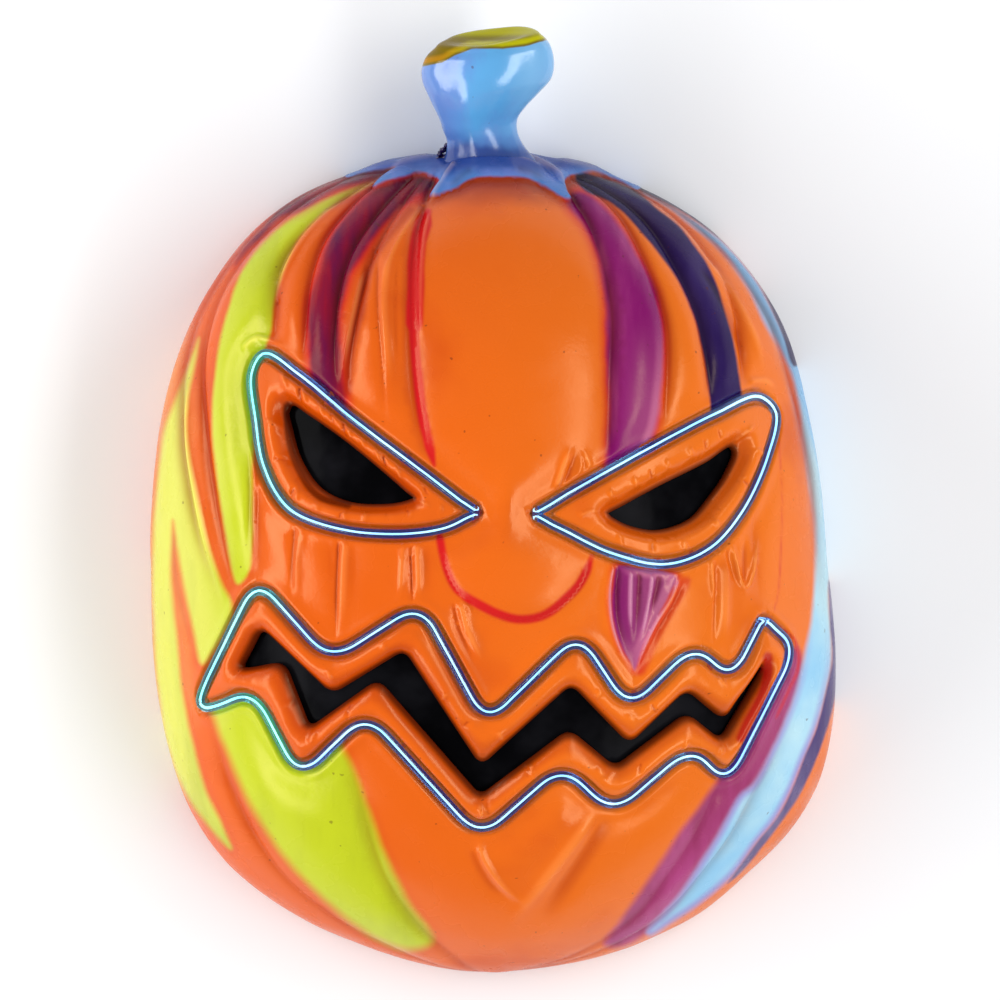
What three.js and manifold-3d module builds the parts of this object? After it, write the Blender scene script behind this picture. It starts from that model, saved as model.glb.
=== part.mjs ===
// A light-up pumpkin mask, lying on its rim with the face up.
// Millimetres. +X is to the wearer's left, +Y to the stem, +Z out of the face, and the rim is at z = 0.
import * as THREE from 'three';
import { mergeVertices } from 'three/addons/utils/BufferGeometryUtils.js';
import Module from 'manifold-3d';

const wasm = await Module();
wasm.setup();

// Driving dimensions of the moulded shell
const BAND_HEIGHT = 6; // upright band between the rim and the dome
const DOME_HEIGHT = 87; // from the band to the crown of the dome
const SIDE_FULLNESS = 2.3; // exponent of the dome's section, 2 is an ellipse
const WALL = 2;
const GAP = 0.3; // clearance between separate pieces

// The luminous wires and their channels
const WIRE_DIAMETER = 2.8;
const WIRE_SIDES = 6;
const WIRE_LIFT = 0.3; // wire centre over the skin around it
const CHANNEL_DEPTH = 1.6;
const CHANNEL_FLOOR = 2.1; // half the width of the channel's floor
const CHANNEL_MOUTH = 2.9; // half the width between its edges
const CHANNEL_BLEND = 9; // how far from a channel the ribs reach their full height
const WIRE_HOLE = { diameter: 7, length: 16, sides: 16, drop: 4 }; // its middle lies this far under the skin
const WIRE_END_SPREAD = 1.6; // half the distance between the two ends
const WIRE_END_DEPTH = 2.2;

// The dark films behind the openings
const FILM_THICKNESS = 0.6;
const FILM_MARGIN = 0.4; // share of the band between opening and wire that the film covers
const FILM_SPACING = 11;
const FILM_EDGE_CLEARANCE = 4; // film points nearer than this to its edge are left out

// The outline of the rim, seen from the front, clockwise from the top
const OUTLINE = [
  [1.8, 102.3], [23, 100.3], [45.6, 93], [62.6, 83], [74.3, 71.5], [85.8, 54.6], [92.4, 34.6], [97.6, 8.9],
  [100.4, -18.2], [102.9, -43.9], [102.1, -68.1], [97.7, -84.7], [89.4, -98.9], [75.8, -112.8],
  [58.9, -126.1], [33.5, -137], [10, -141.8], [-4.8, -142.4], [-21.8, -139.8], [-41.4, -133.3],
  [-58.6, -125.4], [-80.2, -109.2], [-94, -87.1], [-102.1, -54.5], [-103.5, -21.2], [-102.8, 0],
  [-100.5, 20.9], [-95.9, 40.7], [-87.6, 60.2], [-77.7, 75.1], [-67.7, 85], [-56, 92.8], [-39.9, 99.1],
  [-19.3, 101.9],
];

// Each eye is a wire loop and the opening inside it, point for point, from the inner corner
const LEFT_EYE = {
  wire: [
    [-5.7, -3.8], [-10.5, 0.1], [-19.2, 6.8], [-41.7, 23.8], [-58.2, 37.4], [-68.4, 43.6], [-72.2, 38.2],
    [-71.1, 23.8], [-68.4, 9.4], [-61.2, -2.5], [-47.1, -8.5], [-28.2, -10.3], [-14.7, -8.5], [-9.3, -6.1],
  ],
  hole: [
    [-23.7, 0.4], [-26.1, 2.5], [-30.6, 6.5], [-44.1, 17.6], [-55.5, 25.6], [-60.6, 28.6], [-62.1, 26.6],
    [-61.2, 21.8], [-58.2, 11.8], [-51.9, 3.1], [-42.6, -1.1], [-31.2, -1.6], [-26.7, -0.8], [-24.6, -0.1],
  ],
};
const RIGHT_EYE = {
  wire: [
    [12.9, -4.3], [17.1, -1.3], [24, 2.9], [45.3, 14.8], [66.6, 25.9], [78.9, 30.8], [84.2, 26.2],
    [81.9, 13.3], [73.8, -4], [63.9, -14.8], [50.7, -19.3], [34.5, -15.8], [21.3, -9.4], [16.2, -6.8],
  ],
  hole: [
    [33.9, -4], [34.8, -3.4], [37.2, -2.2], [48.3, 3.8], [63.6, 11.5], [71.1, 16.1], [72.3, 14.2],
    [69.9, 7.9], [64.5, 0.1], [58.8, -6.1], [48.6, -9.4], [39.9, -7.9], [35.7, -5.8], [34.5, -5],
  ],
};
// The mouth is a zigzag, corner for corner, from the upper right corner where the wire goes in
const MOUTH = {
  wire: [
    [80.4, -35.4], [90.3, -44.5], [69.9, -84.8], [58.5, -74], [35.4, -93.8], [20.4, -79.3], [-4.2, -101],
    [-38.1, -63.8], [-58.2, -83.2], [-71.7, -57.1], [-85.8, -63.1], [-88.8, -60.1], [-70.8, -23.6],
    [-48.9, -48.1], [-21.9, -31], [-2.4, -66.8], [25.2, -39.8], [40.2, -62.5], [59.4, -43.6], [71.1, -53.5],
  ],
  hole: [
    [79.5, -49.4], [81.3, -50.5], [68.1, -72.5], [57.9, -64.3], [36.3, -80.5], [22.5, -69.1], [-4.2, -89.2],
    [-34.8, -54.1], [-55.5, -68.8], [-63.3, -48.8], [-74.4, -50.9], [-75.9, -49.9], [-69.6, -37.9],
    [-48.3, -57.8], [-26.7, -44.5], [-3.9, -79.3], [23.1, -54.8], [40.5, -72.8], [57.6, -56.5],
    [68.7, -65.8],
  ],
};
const EYE_SAMPLES = 27;
const SEEN_PASSES = 3;
const WIRE_CORNER = 9; // how far the mouth wire's bends reach along its straight runs
const HOLE_CORNER = 3.5;
const MOUTH_TIP_REACH = 5.5; // the same at the sharp corner where the mouth wire goes in
const HOLE_TIP_REACH = 0.5;
const LONGEST_REACH = 0.42; // most that a bend takes of a straight run beside it
const MITRE_LIMIT = 0.55; // a loop that is set off sideways cuts its sharpest corners at this

// Skin heights over the dome at each step of the section across an opening
const RIDGE_HEIGHT = 0.7;
const LIP_SHARE = 0.55; // where the lip runs between the wire and the edge of the opening
const RIDGE_WALL = 0.6; // wall under a channel's edge as a share of the wall under its floor
const LIP_WALL = 1.2; // wall under the lip as a share of the shell's
const EYE_SECTION = { lip: 0.9, rim: -3.6 };
const MOUTH_SECTION = { lip: 1.9, rim: -1.8 };

// Creases between the ribs, as [height on the face, share of the half width]
const UPPER_CREASES = [
  [[55, -0.98], [33, -0.95], [0, -0.88], [-31, -0.79]],
  [[94, -0.9], [62, -0.94], [18, -0.84], [-25, -0.75]],
  [[94, -0.7], [73, -0.79], [49, -0.7], [-20, -0.68]],
  [[94, -0.62], [76, -0.65], [45, -0.59], [0, -0.55]],
  [[94, -0.45], [73, -0.52], [50, -0.5], [30, -0.46]],
  [[94, -0.37], [72, -0.43], [30, -0.43], [0, -0.4]],
  [[94, -0.28], [73, -0.28], [39, -0.23], [12, -0.18]],
  [[94, 0.5], [73, 0.46], [39, 0.4], [15, 0.37]],
  [[94, 0.66], [76, 0.62], [47, 0.59], [20, 0.54]],
  [[94, 0.74], [71, 0.72], [33, 0.7], [0, 0.68]],
  [[94, 0.92], [73, 0.88], [33, 0.81], [0, 0.78]],
  [[94, 0.96], [75, 0.955], [42, 0.96], [10, 0.97]],
];
const UPPER_RIB_HEIGHTS = [2, 2.8, 3.8, 2.2, 3.8, 1.8, 2.4, 4.6, 3.8, 2.2, 4, 2.2, 2.2];
const LOWER_CREASES = [
  [[-60, -0.86], [-90, -0.83], [-130, -0.82]],
  [[-60, -0.5], [-90, -0.44], [-130, -0.42]],
  [[-60, 0.72], [-90, 0.68], [-130, 0.7]],
  [[-60, 0.9], [-90, 0.8], [-130, 0.84]],
];
const LOWER_RIB_HEIGHTS = [2.2, 3, 2.8, 2, 2.2];
const RIB_STEEPNESS = 0.22; // most that a rib's height is of its width
const RIB_ROUNDNESS = 0.6;
const OUTERMOST_CREASE = 1.1; // just past the outline, as a share of the half width
const UPPER_RIBS_FADE = [-38, 10]; // heights on the face between which the ribs of the brow run out
const LOWER_RIBS_FADE = [-60, -95];
const TOP_FADE = [94, 100];
const RIM_FADE = { from: 0.9, amount: 0.75 }; // ribs are this much lower at the rim
const RIB_ROWS = [
  { creases: UPPER_CREASES, reach: 100, from: 74, to: -8 },
  { creases: LOWER_CREASES, reach: 140, from: -30, to: -74 },
];
const NOSE = { x: 6.6, y: -14.6, radius: 21.6, height: 4.2, steepness: 3, roundness: 0.8 };
const NOSE_FLATTENING = 0.7; // upward stretch of the nose is the inverse of this

// The leafy collar under the stem as seen from the front, closed beyond the outline
const COLLAR = [
  [44.1, 94], [42.9, 92.8], [40.5, 94.2], [37.8, 95.4], [33.9, 96.3], [30.3, 96.9], [25.8, 96.9],
  [22.5, 96.1], [21, 94.6], [21.6, 91.6], [22.9, 89.5], [21.3, 89.5], [18.9, 90.8], [15.9, 92.8],
  [12.9, 94.6], [9.3, 95.8], [5.4, 96], [0.9, 96], [-2.7, 96.1], [-5.7, 95.7], [-8.7, 94.6],
  [-11.7, 93.1], [-14.7, 92], [-17.1, 90.8], [-19.1, 90.5], [-17.7, 92.8], [-16.2, 95], [-17.7, 96.3],
  [-20.7, 97.3], [-23.4, 97.3], [-26.1, 96.1], [-29.1, 95.4], [-32.1, 94.5], [-36.3, 93.3], [-34.5, 95.4],
  [-31.8, 97], [-29.4, 98.2], [-32.4, 98.4], [-36.6, 98], [-40.2, 97.5], [-44.4, 96.5], [-44.7, 100.3],
  [-28.2, 110.8], [31.8, 110.8],
];
const COLLAR_HEIGHT = 2;
const COLLAR_EDGE = { outside: 0.4, inside: 1.5 }; // how far its edge slopes to each side of its outline
const COLLAR_LOWEST = 86; // no part of the collar is lower on the face than this
const COLLAR_TAPER = { from: 30, to: 44, amount: 0.8 }; // how much lower its outer arms get to their tips

// The flare of the skin around the stem's foot, which is an oval seen along the stem
const FOOT = { x: -0.3, z: 24.2, across: 16.4, deep: 14.6, reach: 0.7, height: 3 };

// Sections of the stem: left and right edge in plan, height, half depth and forward tilt in degrees
const STEM_SECTIONS = [
  { left: [-18, 92], right: [16, 92], z: 23.5, depth: 15, tilt: 0 },
  { left: [-17, 99.6], right: [16.5, 99.2], z: 24, depth: 14.6, tilt: 0 },
  { left: [-14.6, 103.2], right: [12.6, 102.6], z: 24.3, depth: 12.6, tilt: 2 },
  { left: [-14, 107.9], right: [8.9, 106.9], z: 25, depth: 11, tilt: 5 },
  { left: [-15.2, 111.2], right: [7.2, 110.9], z: 25.8, depth: 10.6, tilt: 7 },
  { left: [-16.2, 114.5], right: [7.2, 114.8], z: 27, depth: 11, tilt: 9 },
  { left: [-18, 118.4], right: [9.6, 118.6], z: 28.4, depth: 12, tilt: 11 },
  { left: [-19.8, 122.3], right: [13.6, 122.9], z: 29.8, depth: 13, tilt: 12 },
  { left: [-21.2, 126], right: [17.4, 127.4], z: 31, depth: 13.8, tilt: 13 },
  { left: [-21.4, 129.4], right: [18.2, 132], z: 32.2, depth: 14, tilt: 14 },
  { left: [-20, 133.2], right: [17, 137.2], z: 33.2, depth: 13, tilt: 15 },
  { left: [-17.2, 136], right: [14.2, 140], z: 33.8, depth: 11.2, tilt: 16 },
];
// Rings of the end face by their share of the last section and their rise over it, to the dished middle
const STEM_CAP = [{ scale: 0.94, rise: 0.8 }, { scale: 0.76, rise: 1 }, { scale: 0.4, rise: 0.1 }];
const STEM_DISH = -0.3;
const STEM_SIDES = 18;
const STEM_WALL = 2.2;
const STEM_CORE_DEPTH = 12; // how far the stem's hollow starts inside the shell
const STEM_END_WALL = 3;

// How finely the skin is divided
const RIM_POINTS = 84;
const NOSE_POINTS = 20;
const DOME_RINGS = 12;
const MEAN_RADIUS = 118;
const PLAN_SPACING = 10; // distance between the points of the open skin
const PLAN_CLEARANCE = 6.8; // open skin points nearer than this to a feature are left out
const FEATURE_CLEARANCE = 1.6;
const RIB_ROW_STEP = 7; // degrees between the rows along the ribs
const RIB_CLEARANCE = 2.4;
const RIB_COLUMNS = [{ wider: 26, columns: 5 }, { wider: 12, columns: 3 }, { wider: 5, columns: 1 }];
const RIM_SHARE = 0.985; // rib points farther out than this are left to the rim
const NOSE_ROWS = [1.03, 0.93, 0.6]; // rows of points around the nose, as shares of its radius
const OUTLINE_SAMPLES = 720;
const DISC_RADIUS = 100;
const FAR = 5000; // corners of the first triangle of a triangulation, well outside every point

const smoothstep = (low, high, value) => {
  const share = THREE.MathUtils.clamp((value - low) / (high - low), 0, 1);
  return share * share * (3 - 2 * share);
};

// A smooth curve through [position, value] knots in falling order, level beyond both ends
function throughKnots(knots, position) {
  if (position >= knots[0][0]) return knots[0][1];
  const last = knots.length - 1;
  if (position <= knots[last][0]) return knots[last][1];
  const next = knots.findIndex(([at]) => at <= position);
  const [a, b] = [knots[next - 1], knots[next]];
  const before = knots[Math.max(next - 2, 0)];
  const after = knots[Math.min(next + 1, last)];
  const span = b[0] - a[0];
  const share = (position - a[0]) / span;
  const slopeA = ((b[1] - before[1]) / (b[0] - before[0])) * span;
  const slopeB = ((after[1] - a[1]) / (after[0] - a[0])) * span;
  const square = share * share;
  const cube = square * share;
  return (2 * cube - 3 * square + 1) * a[1] + (cube - 2 * square + share) * slopeA
    + (3 * square - 2 * cube) * b[1] + (cube - square) * slopeB;
}

// The plan outline as a radius for each direction, and as left and right edges for each height
const outlineCurve = new THREE.CatmullRomCurve3(
  OUTLINE.map(([x, y]) => new THREE.Vector3(x, y, 0)), true, 'centripetal');
const outlineRing = outlineCurve.getPoints(OUTLINE_SAMPLES).slice(0, OUTLINE_SAMPLES)
  .map((point) => ({ x: point.x, y: point.y, angle: Math.atan2(point.y, point.x), radius: point.length() }))
  .sort((a, b) => a.angle - b.angle);

function outlineRadius(angle) {
  let low = 0;
  let high = outlineRing.length - 1;
  const turn = 2 * Math.PI;
  if (angle < outlineRing[0].angle || angle > outlineRing[high].angle) {
    const span = outlineRing[0].angle + turn - outlineRing[high].angle;
    const past = angle > 0 ? angle - outlineRing[high].angle : angle + turn - outlineRing[high].angle;
    return THREE.MathUtils.lerp(outlineRing[high].radius, outlineRing[0].radius, past / span);
  }
  while (high - low > 1) {
    const middle = (low + high) >> 1;
    if (outlineRing[middle].angle <= angle) low = middle;
    else high = middle;
  }
  const share = (angle - outlineRing[low].angle) / (outlineRing[high].angle - outlineRing[low].angle);
  return THREE.MathUtils.lerp(outlineRing[low].radius, outlineRing[high].radius, share);
}

const planShare = (x, y) => Math.hypot(x, y) / outlineRadius(Math.atan2(y, x));

// The middle and half width of the outline at a height on the face
function widthAt(y) {
  let left = 0;
  let right = 0;
  for (let index = 0; index < outlineRing.length; index += 1) {
    const a = outlineRing[index];
    const b = outlineRing[(index + 1) % outlineRing.length];
    if ((a.y - y) * (b.y - y) > 0 || a.y === b.y) continue;
    const edge = THREE.MathUtils.lerp(a.x, b.x, (y - a.y) / (b.y - a.y));
    left = Math.min(left, edge);
    right = Math.max(right, edge);
  }
  return { middle: (left + right) / 2, half: Math.max((right - left) / 2, 1) };
}

// A point of the plain dome with its outward direction
function domePoint(x, y) {
  const share = Math.min(planShare(x, y), 1);
  const rise = Math.sqrt(Math.max(1 - share ** SIDE_FULLNESS, 0));
  const step = 0.5;
  const slopeX = (planShare(x + step, y) - planShare(x - step, y)) / (2 * step);
  const slopeY = (planShare(x, y + step) - planShare(x, y - step)) / (2 * step);
  const lean = SIDE_FULLNESS * share ** (SIDE_FULLNESS - 1);
  const normal = new THREE.Vector3(lean * slopeX, lean * slopeY, (2 * rise) / DOME_HEIGHT).normalize();
  return { point: new THREE.Vector3(x, y, BAND_HEIGHT + DOME_HEIGHT * rise), normal };
}

// Closed loops of plan points
function smoothLoop(points, count) {
  const curve = new THREE.CatmullRomCurve3(
    points.map(([x, y]) => new THREE.Vector3(x, y, 0)), true, 'centripetal');
  const loop = [];
  for (let index = 0; index < count; index += 1) {
    const point = curve.getPoint(index / count);
    loop.push(new THREE.Vector2(point.x, point.y));
  }
  return loop;
}

// Rounds each corner with an arc of three points and adds the middle of the run that follows it
function roundedLoop(corners, reach, firstReach) {
  const points = corners.map(([x, y]) => new THREE.Vector2(x, y));
  const loop = [];
  points.forEach((corner, index) => {
    const before = points.at(index - 1);
    const after = points[(index + 1) % points.length];
    const own = index === 0 ? firstReach : reach;
    const inward = Math.min(own, corner.distanceTo(before) * LONGEST_REACH);
    const outward = Math.min(own, corner.distanceTo(after) * LONGEST_REACH);
    const start = corner.clone().lerp(before, inward / corner.distanceTo(before));
    const end = corner.clone().lerp(after, outward / corner.distanceTo(after));
    const middle = start.clone().add(end).add(corner).add(corner).multiplyScalar(0.25);
    loop.push(start, middle, end, corner.clone().lerp(after, 0.5));
  });
  // The loop starts at the middle of its first corner
  return [...loop.slice(1), loop[0]];
}

function outwardOffset(loop, distance) {
  const area = THREE.ShapeUtils.area(loop);
  const side = area > 0 ? 1 : -1;
  return loop.map((point, index) => {
    const before = point.clone().sub(loop.at(index - 1)).normalize();
    const after = loop[(index + 1) % loop.length].clone().sub(point).normalize();
    const along = before.clone().add(after).normalize();
    const stretch = 1 / Math.max(along.dot(before), MITRE_LIMIT);
    return point.clone().add(new THREE.Vector2(along.y, -along.x).multiplyScalar(side * distance * stretch));
  });
}

// Plan points whose places at their height over the dome are seen at the loop's points from the front
function planOfSeen(loop, heightAt) {
  let points = loop;
  for (let pass = 0; pass < SEEN_PASSES; pass += 1) {
    points = loop.map((seen, index) => {
      const { x, y } = points[index];
      const { normal } = domePoint(x, y);
      return seen.clone().sub(new THREE.Vector2(normal.x, normal.y).multiplyScalar(heightAt(x, y)));
    });
  }
  return points;
}

// The loops are as seen from the front, and the edge of the hole is sunk along the dome's slope
function makeOpening(name, wire, hole, section) {
  const guard = outwardOffset(wire, CHANNEL_MOUTH);
  return { name, wire, hole: planOfSeen(hole, () => section.rim), section, guard };
}

const openings = [
  makeOpening('left_eye', smoothLoop(LEFT_EYE.wire, EYE_SAMPLES), smoothLoop(LEFT_EYE.hole, EYE_SAMPLES),
    EYE_SECTION),
  makeOpening('right_eye', smoothLoop(RIGHT_EYE.wire, EYE_SAMPLES), smoothLoop(RIGHT_EYE.hole, EYE_SAMPLES),
    EYE_SECTION),
  makeOpening('mouth', roundedLoop(MOUTH.wire, WIRE_CORNER, MOUTH_TIP_REACH),
    roundedLoop(MOUTH.hole, HOLE_CORNER, HOLE_TIP_REACH), MOUTH_SECTION),
];

function insideLoop(loop, x, y) {
  let inside = false;
  for (let index = 0; index < loop.length; index += 1) {
    const a = loop[index];
    const b = loop.at(index - 1);
    if ((a.y > y) !== (b.y > y) && x < ((b.x - a.x) * (y - a.y)) / (b.y - a.y) + a.x) inside = !inside;
  }
  return inside;
}

function distanceToLoop(loop, x, y) {
  let nearest = Infinity;
  for (let index = 0; index < loop.length; index += 1) {
    const a = loop.at(index - 1);
    const b = loop[index];
    const runX = b.x - a.x;
    const runY = b.y - a.y;
    const share = THREE.MathUtils.clamp(
      ((x - a.x) * runX + (y - a.y) * runY) / (runX * runX + runY * runY), 0, 1);
    nearest = Math.min(nearest, Math.hypot(x - a.x - share * runX, y - a.y - share * runY));
  }
  return nearest;
}

// 1 on the open skin, falling to 0 beside and inside the channels
function openSkin(x, y) {
  let open = 1;
  for (const { guard } of openings) {
    if (insideLoop(guard, x, y)) return 0;
    open = Math.min(open, smoothstep(0, CHANNEL_BLEND, distanceToLoop(guard, x, y)));
  }
  return open;
}

// Height of the ribs between a set of creases, lower where a rib is narrow
function ribHeight(creases, heights, across, half, y) {
  const edges = [-OUTERMOST_CREASE, ...creases.map((crease) => throughKnots(crease, y)), OUTERMOST_CREASE];
  const rib = Math.max(edges.findIndex((edge) => edge > across) - 1, 0);
  const width = edges[rib + 1] - edges[rib];
  const share = THREE.MathUtils.clamp((across - edges[rib]) / width, 0, 1);
  return Math.min(heights[rib], RIB_STEEPNESS * width * half) * (4 * share * (1 - share)) ** RIB_ROUNDNESS;
}

function noseHeight(x, y) {
  const off = Math.hypot(x - NOSE.x, (y - NOSE.y) * (y > NOSE.y ? NOSE_FLATTENING : 1)) / NOSE.radius;
  return off < 1 ? NOSE.height * (1 - off ** NOSE.steepness) ** NOSE.roundness : 0;
}

// The flare around the stem's foot, by the distance from its oval
function footHeight(x, y) {
  const { point } = domePoint(x, y);
  const off = Math.hypot((point.x - FOOT.x) / FOOT.across, (point.z - FOOT.z) / FOOT.deep);
  const share = THREE.MathUtils.clamp(1 - (off - 1) / FOOT.reach, 0, 1);
  return y > 0 ? FOOT.height * share * share : 0;
}

// Height of the moulded skin over the dome, without the channels and the collar
function bodyHeight(x, y) {
  const { middle, half } = widthAt(y);
  const across = THREE.MathUtils.clamp((x - middle) / half, -1, 1);
  const upper = ribHeight(UPPER_CREASES, UPPER_RIB_HEIGHTS, across, half, y);
  const lower = ribHeight(LOWER_CREASES, LOWER_RIB_HEIGHTS, across, half, y);
  const both = upper * smoothstep(...UPPER_RIBS_FADE, y) + lower * smoothstep(...LOWER_RIBS_FADE, y);
  const edge = 1 - RIM_FADE.amount * smoothstep(RIM_FADE.from, 1, planShare(x, y));
  const ribs = both * edge * (1 - smoothstep(...TOP_FADE, y));
  return Math.max(ribs, noseHeight(x, y)) * openSkin(x, y) + footHeight(x, y);
}

const collarLoop = planOfSeen(smoothLoop(COLLAR, COLLAR.length), bodyHeight);

function collarHeight(x, y) {
  if (y < COLLAR_LOWEST) return 0;
  const gap = distanceToLoop(collarLoop, x, y) * (insideLoop(collarLoop, x, y) ? 1 : -1);
  const taper = 1 - COLLAR_TAPER.amount * smoothstep(COLLAR_TAPER.from, COLLAR_TAPER.to, Math.abs(x));
  return COLLAR_HEIGHT * taper * smoothstep(-COLLAR_EDGE.outside, COLLAR_EDGE.inside, gap);
}

const skinHeight = (x, y) => bodyHeight(x, y) + collarHeight(x, y);

// A skin point of the shell, outside and inside, given its own heights over the local skin
function skinPoint(x, y, outer = 0, inner = -WALL) {
  const { point, normal } = domePoint(x, y);
  const height = skinHeight(x, y);
  return {
    x,
    y,
    outer: point.clone().addScaledVector(normal, height + outer),
    inner: point.clone().addScaledVector(normal, height + inner),
  };
}

// Position in a disc where the dome's arc length is even, so that triangles stay well shaped
function discPosition(x, y) {
  const share = Math.min(planShare(x, y), 1);
  const climb = Math.asin(share ** (SIDE_FULLNESS / 2)) / (Math.PI / 2);
  const angle = Math.atan2(y, x);
  return new THREE.Vector2(Math.cos(angle), Math.sin(angle)).multiplyScalar(DISC_RADIUS * climb);
}

// Delaunay triangles of plan points, counter-clockwise
function triangulate(points) {
  const corners = [[-1, -1], [1, -1], [0, 1]].map(([x, y]) => new THREE.Vector2(x, y).multiplyScalar(FAR));
  const all = [...points, ...corners];
  const count = points.length;
  const circle = (a, b, c) => {
    const [p, q, r] = [all[a], all[b], all[c]];
    const d = 2 * (p.x * (q.y - r.y) + q.x * (r.y - p.y) + r.x * (p.y - q.y));
    const [pp, qq, rr] = [p.lengthSq(), q.lengthSq(), r.lengthSq()];
    const x = (pp * (q.y - r.y) + qq * (r.y - p.y) + rr * (p.y - q.y)) / d;
    const y = (pp * (r.x - q.x) + qq * (p.x - r.x) + rr * (q.x - p.x)) / d;
    return { a, b, c, x, y, square: (p.x - x) ** 2 + (p.y - y) ** 2 };
  };
  let triangles = [circle(count, count + 1, count + 2)];
  for (let index = 0; index < count; index += 1) {
    const { x, y } = all[index];
    const edges = new Map();
    const kept = [];
    for (const triangle of triangles) {
      if ((x - triangle.x) ** 2 + (y - triangle.y) ** 2 >= triangle.square) {
        kept.push(triangle);
        continue;
      }
      const { a, b, c } = triangle;
      for (const [from, to] of [[a, b], [b, c], [c, a]]) {
        const reverse = `${to},${from}`;
        if (edges.has(reverse)) edges.delete(reverse);
        else edges.set(`${from},${to}`, [from, to]);
      }
    }
    triangles = kept;
    for (const [from, to] of edges.values()) triangles.push(circle(from, to, index));
  }
  return triangles.filter(({ a, b, c }) => Math.max(a, b, c) < count).map(({ a, b, c }) => [a, b, c]);
}

// Closes an outer and an inner skin over the same triangles. Each edge of the sheet is walled through
// the levels that wallLevels gives for its two points.
function closeSheet(skin, triangles, wallLevels) {
  const positions = [];
  const indices = [];
  const place = new Map();
  const vertex = (point) => {
    const key = point.toArray().map((value) => value.toFixed(4)).join();
    if (!place.has(key)) {
      place.set(key, positions.length / 3);
      positions.push(...point.toArray());
    }
    return place.get(key);
  };
  const face = (a, b, c) => indices.push(vertex(a), vertex(b), vertex(c));
  const edges = new Set(triangles.flatMap(([a, b, c]) => [`${a},${b}`, `${b},${c}`, `${c},${a}`]));
  for (const [a, b, c] of triangles) {
    face(skin[a].outer, skin[b].outer, skin[c].outer);
    face(skin[a].inner, skin[c].inner, skin[b].inner);
    for (const [from, to] of [[a, b], [b, c], [c, a]]) {
      if (edges.has(`${to},${from}`)) continue;
      const start = wallLevels(skin[from]);
      const end = wallLevels(skin[to]);
      for (let level = 0; level < Math.min(start.length, end.length) - 1; level += 1) {
        face(end[level], start[level], start[level + 1]);
        face(end[level], start[level + 1], end[level + 1]);
      }
    }
  }
  const geometry = new THREE.BufferGeometry();
  geometry.setAttribute('position', new THREE.Float32BufferAttribute(positions, 3));
  geometry.setIndex(indices);
  return geometry;
}

const middleOf = (skin, [a, b, c]) => [
  (skin[a].x + skin[b].x + skin[c].x) / 3,
  (skin[a].y + skin[b].y + skin[c].y) / 3,
];

// The rows of skin points that shape one opening, from its outer ridge to its edge
function openingRows({ wire, hole, section, guard }) {
  const lip = wire.map((point, index) => point.clone().lerp(hole[index], LIP_SHARE));
  const rows = [
    [guard, RIDGE_HEIGHT, -CHANNEL_DEPTH - WALL * RIDGE_WALL],
    [outwardOffset(wire, CHANNEL_FLOOR), -CHANNEL_DEPTH, -CHANNEL_DEPTH - WALL],
    [outwardOffset(wire, -CHANNEL_FLOOR), -CHANNEL_DEPTH, -CHANNEL_DEPTH - WALL],
    [outwardOffset(wire, -CHANNEL_MOUTH), RIDGE_HEIGHT, -CHANNEL_DEPTH - WALL * RIDGE_WALL],
    [lip, section.lip, section.lip - WALL * LIP_WALL],
    [hole, section.rim, section.rim - WALL],
  ];
  return rows.map(([loop, outer, inner]) => loop.map(({ x, y }) => skinPoint(x, y, outer, inner)));
}

// Two triangles for each step between neighbouring rows of an opening, counter-clockwise
function rowTriangles(wire, start, rowCount) {
  const turnsLeft = THREE.ShapeUtils.area(wire) > 0;
  const triangles = [];
  for (let row = 0; row < rowCount - 1; row += 1) {
    for (let index = 0; index < wire.length; index += 1) {
      const next = (index + 1) % wire.length;
      const [a, b] = [start[row] + index, start[row] + next];
      const [c, d] = [start[row + 1] + index, start[row + 1] + next];
      triangles.push(...(turnsLeft ? [[a, b, d], [a, d, c]] : [[b, a, c], [b, c, d]]));
    }
  }
  return triangles;
}

// Rows of points along the creases and over the ribs between them, each row at one height on the face
function ribPoints() {
  const points = [];
  for (const { creases, reach, from, to } of RIB_ROWS) {
    for (let turn = from; turn >= to; turn -= RIB_ROW_STEP) {
      const y = reach * Math.sin(THREE.MathUtils.degToRad(turn));
      const { middle, half } = widthAt(y);
      const edges = creases.map((crease) => middle + half * throughKnots(crease, y));
      edges.forEach((edge, index) => {
        points.push([edge, y]);
        const width = (edges[index + 1] ?? edge) - edge;
        const { columns } = RIB_COLUMNS.find(({ wider }) => width > wider) ?? { columns: 0 };
        for (let column = 1; column <= columns; column += 1) {
          points.push([edge + (width * column) / (columns + 1), y]);
        }
      });
    }
  }
  return points.filter(([x, y]) => planShare(x, y) < RIM_SHARE);
}

// Points along the nose and the collar's edge, which keep their shapes crisp
function featurePoints() {
  const points = [];
  for (const share of NOSE_ROWS) {
    for (let index = 0; index < NOSE_POINTS; index += 1) {
      const angle = (index / NOSE_POINTS) * 2 * Math.PI;
      const stretch = Math.sin(angle) > 0 ? 1 / NOSE_FLATTENING : 1;
      points.push([
        NOSE.x + share * NOSE.radius * Math.cos(angle),
        NOSE.y + share * NOSE.radius * Math.sin(angle) * stretch,
      ]);
    }
  }
  for (const offset of [COLLAR_EDGE.outside, -COLLAR_EDGE.inside]) {
    points.push(...outwardOffset(collarLoop, offset).map(({ x, y }) => [x, y])
      .filter(([x, y]) => planShare(x, y) < RIM_SHARE));
  }
  return points;
}

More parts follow.
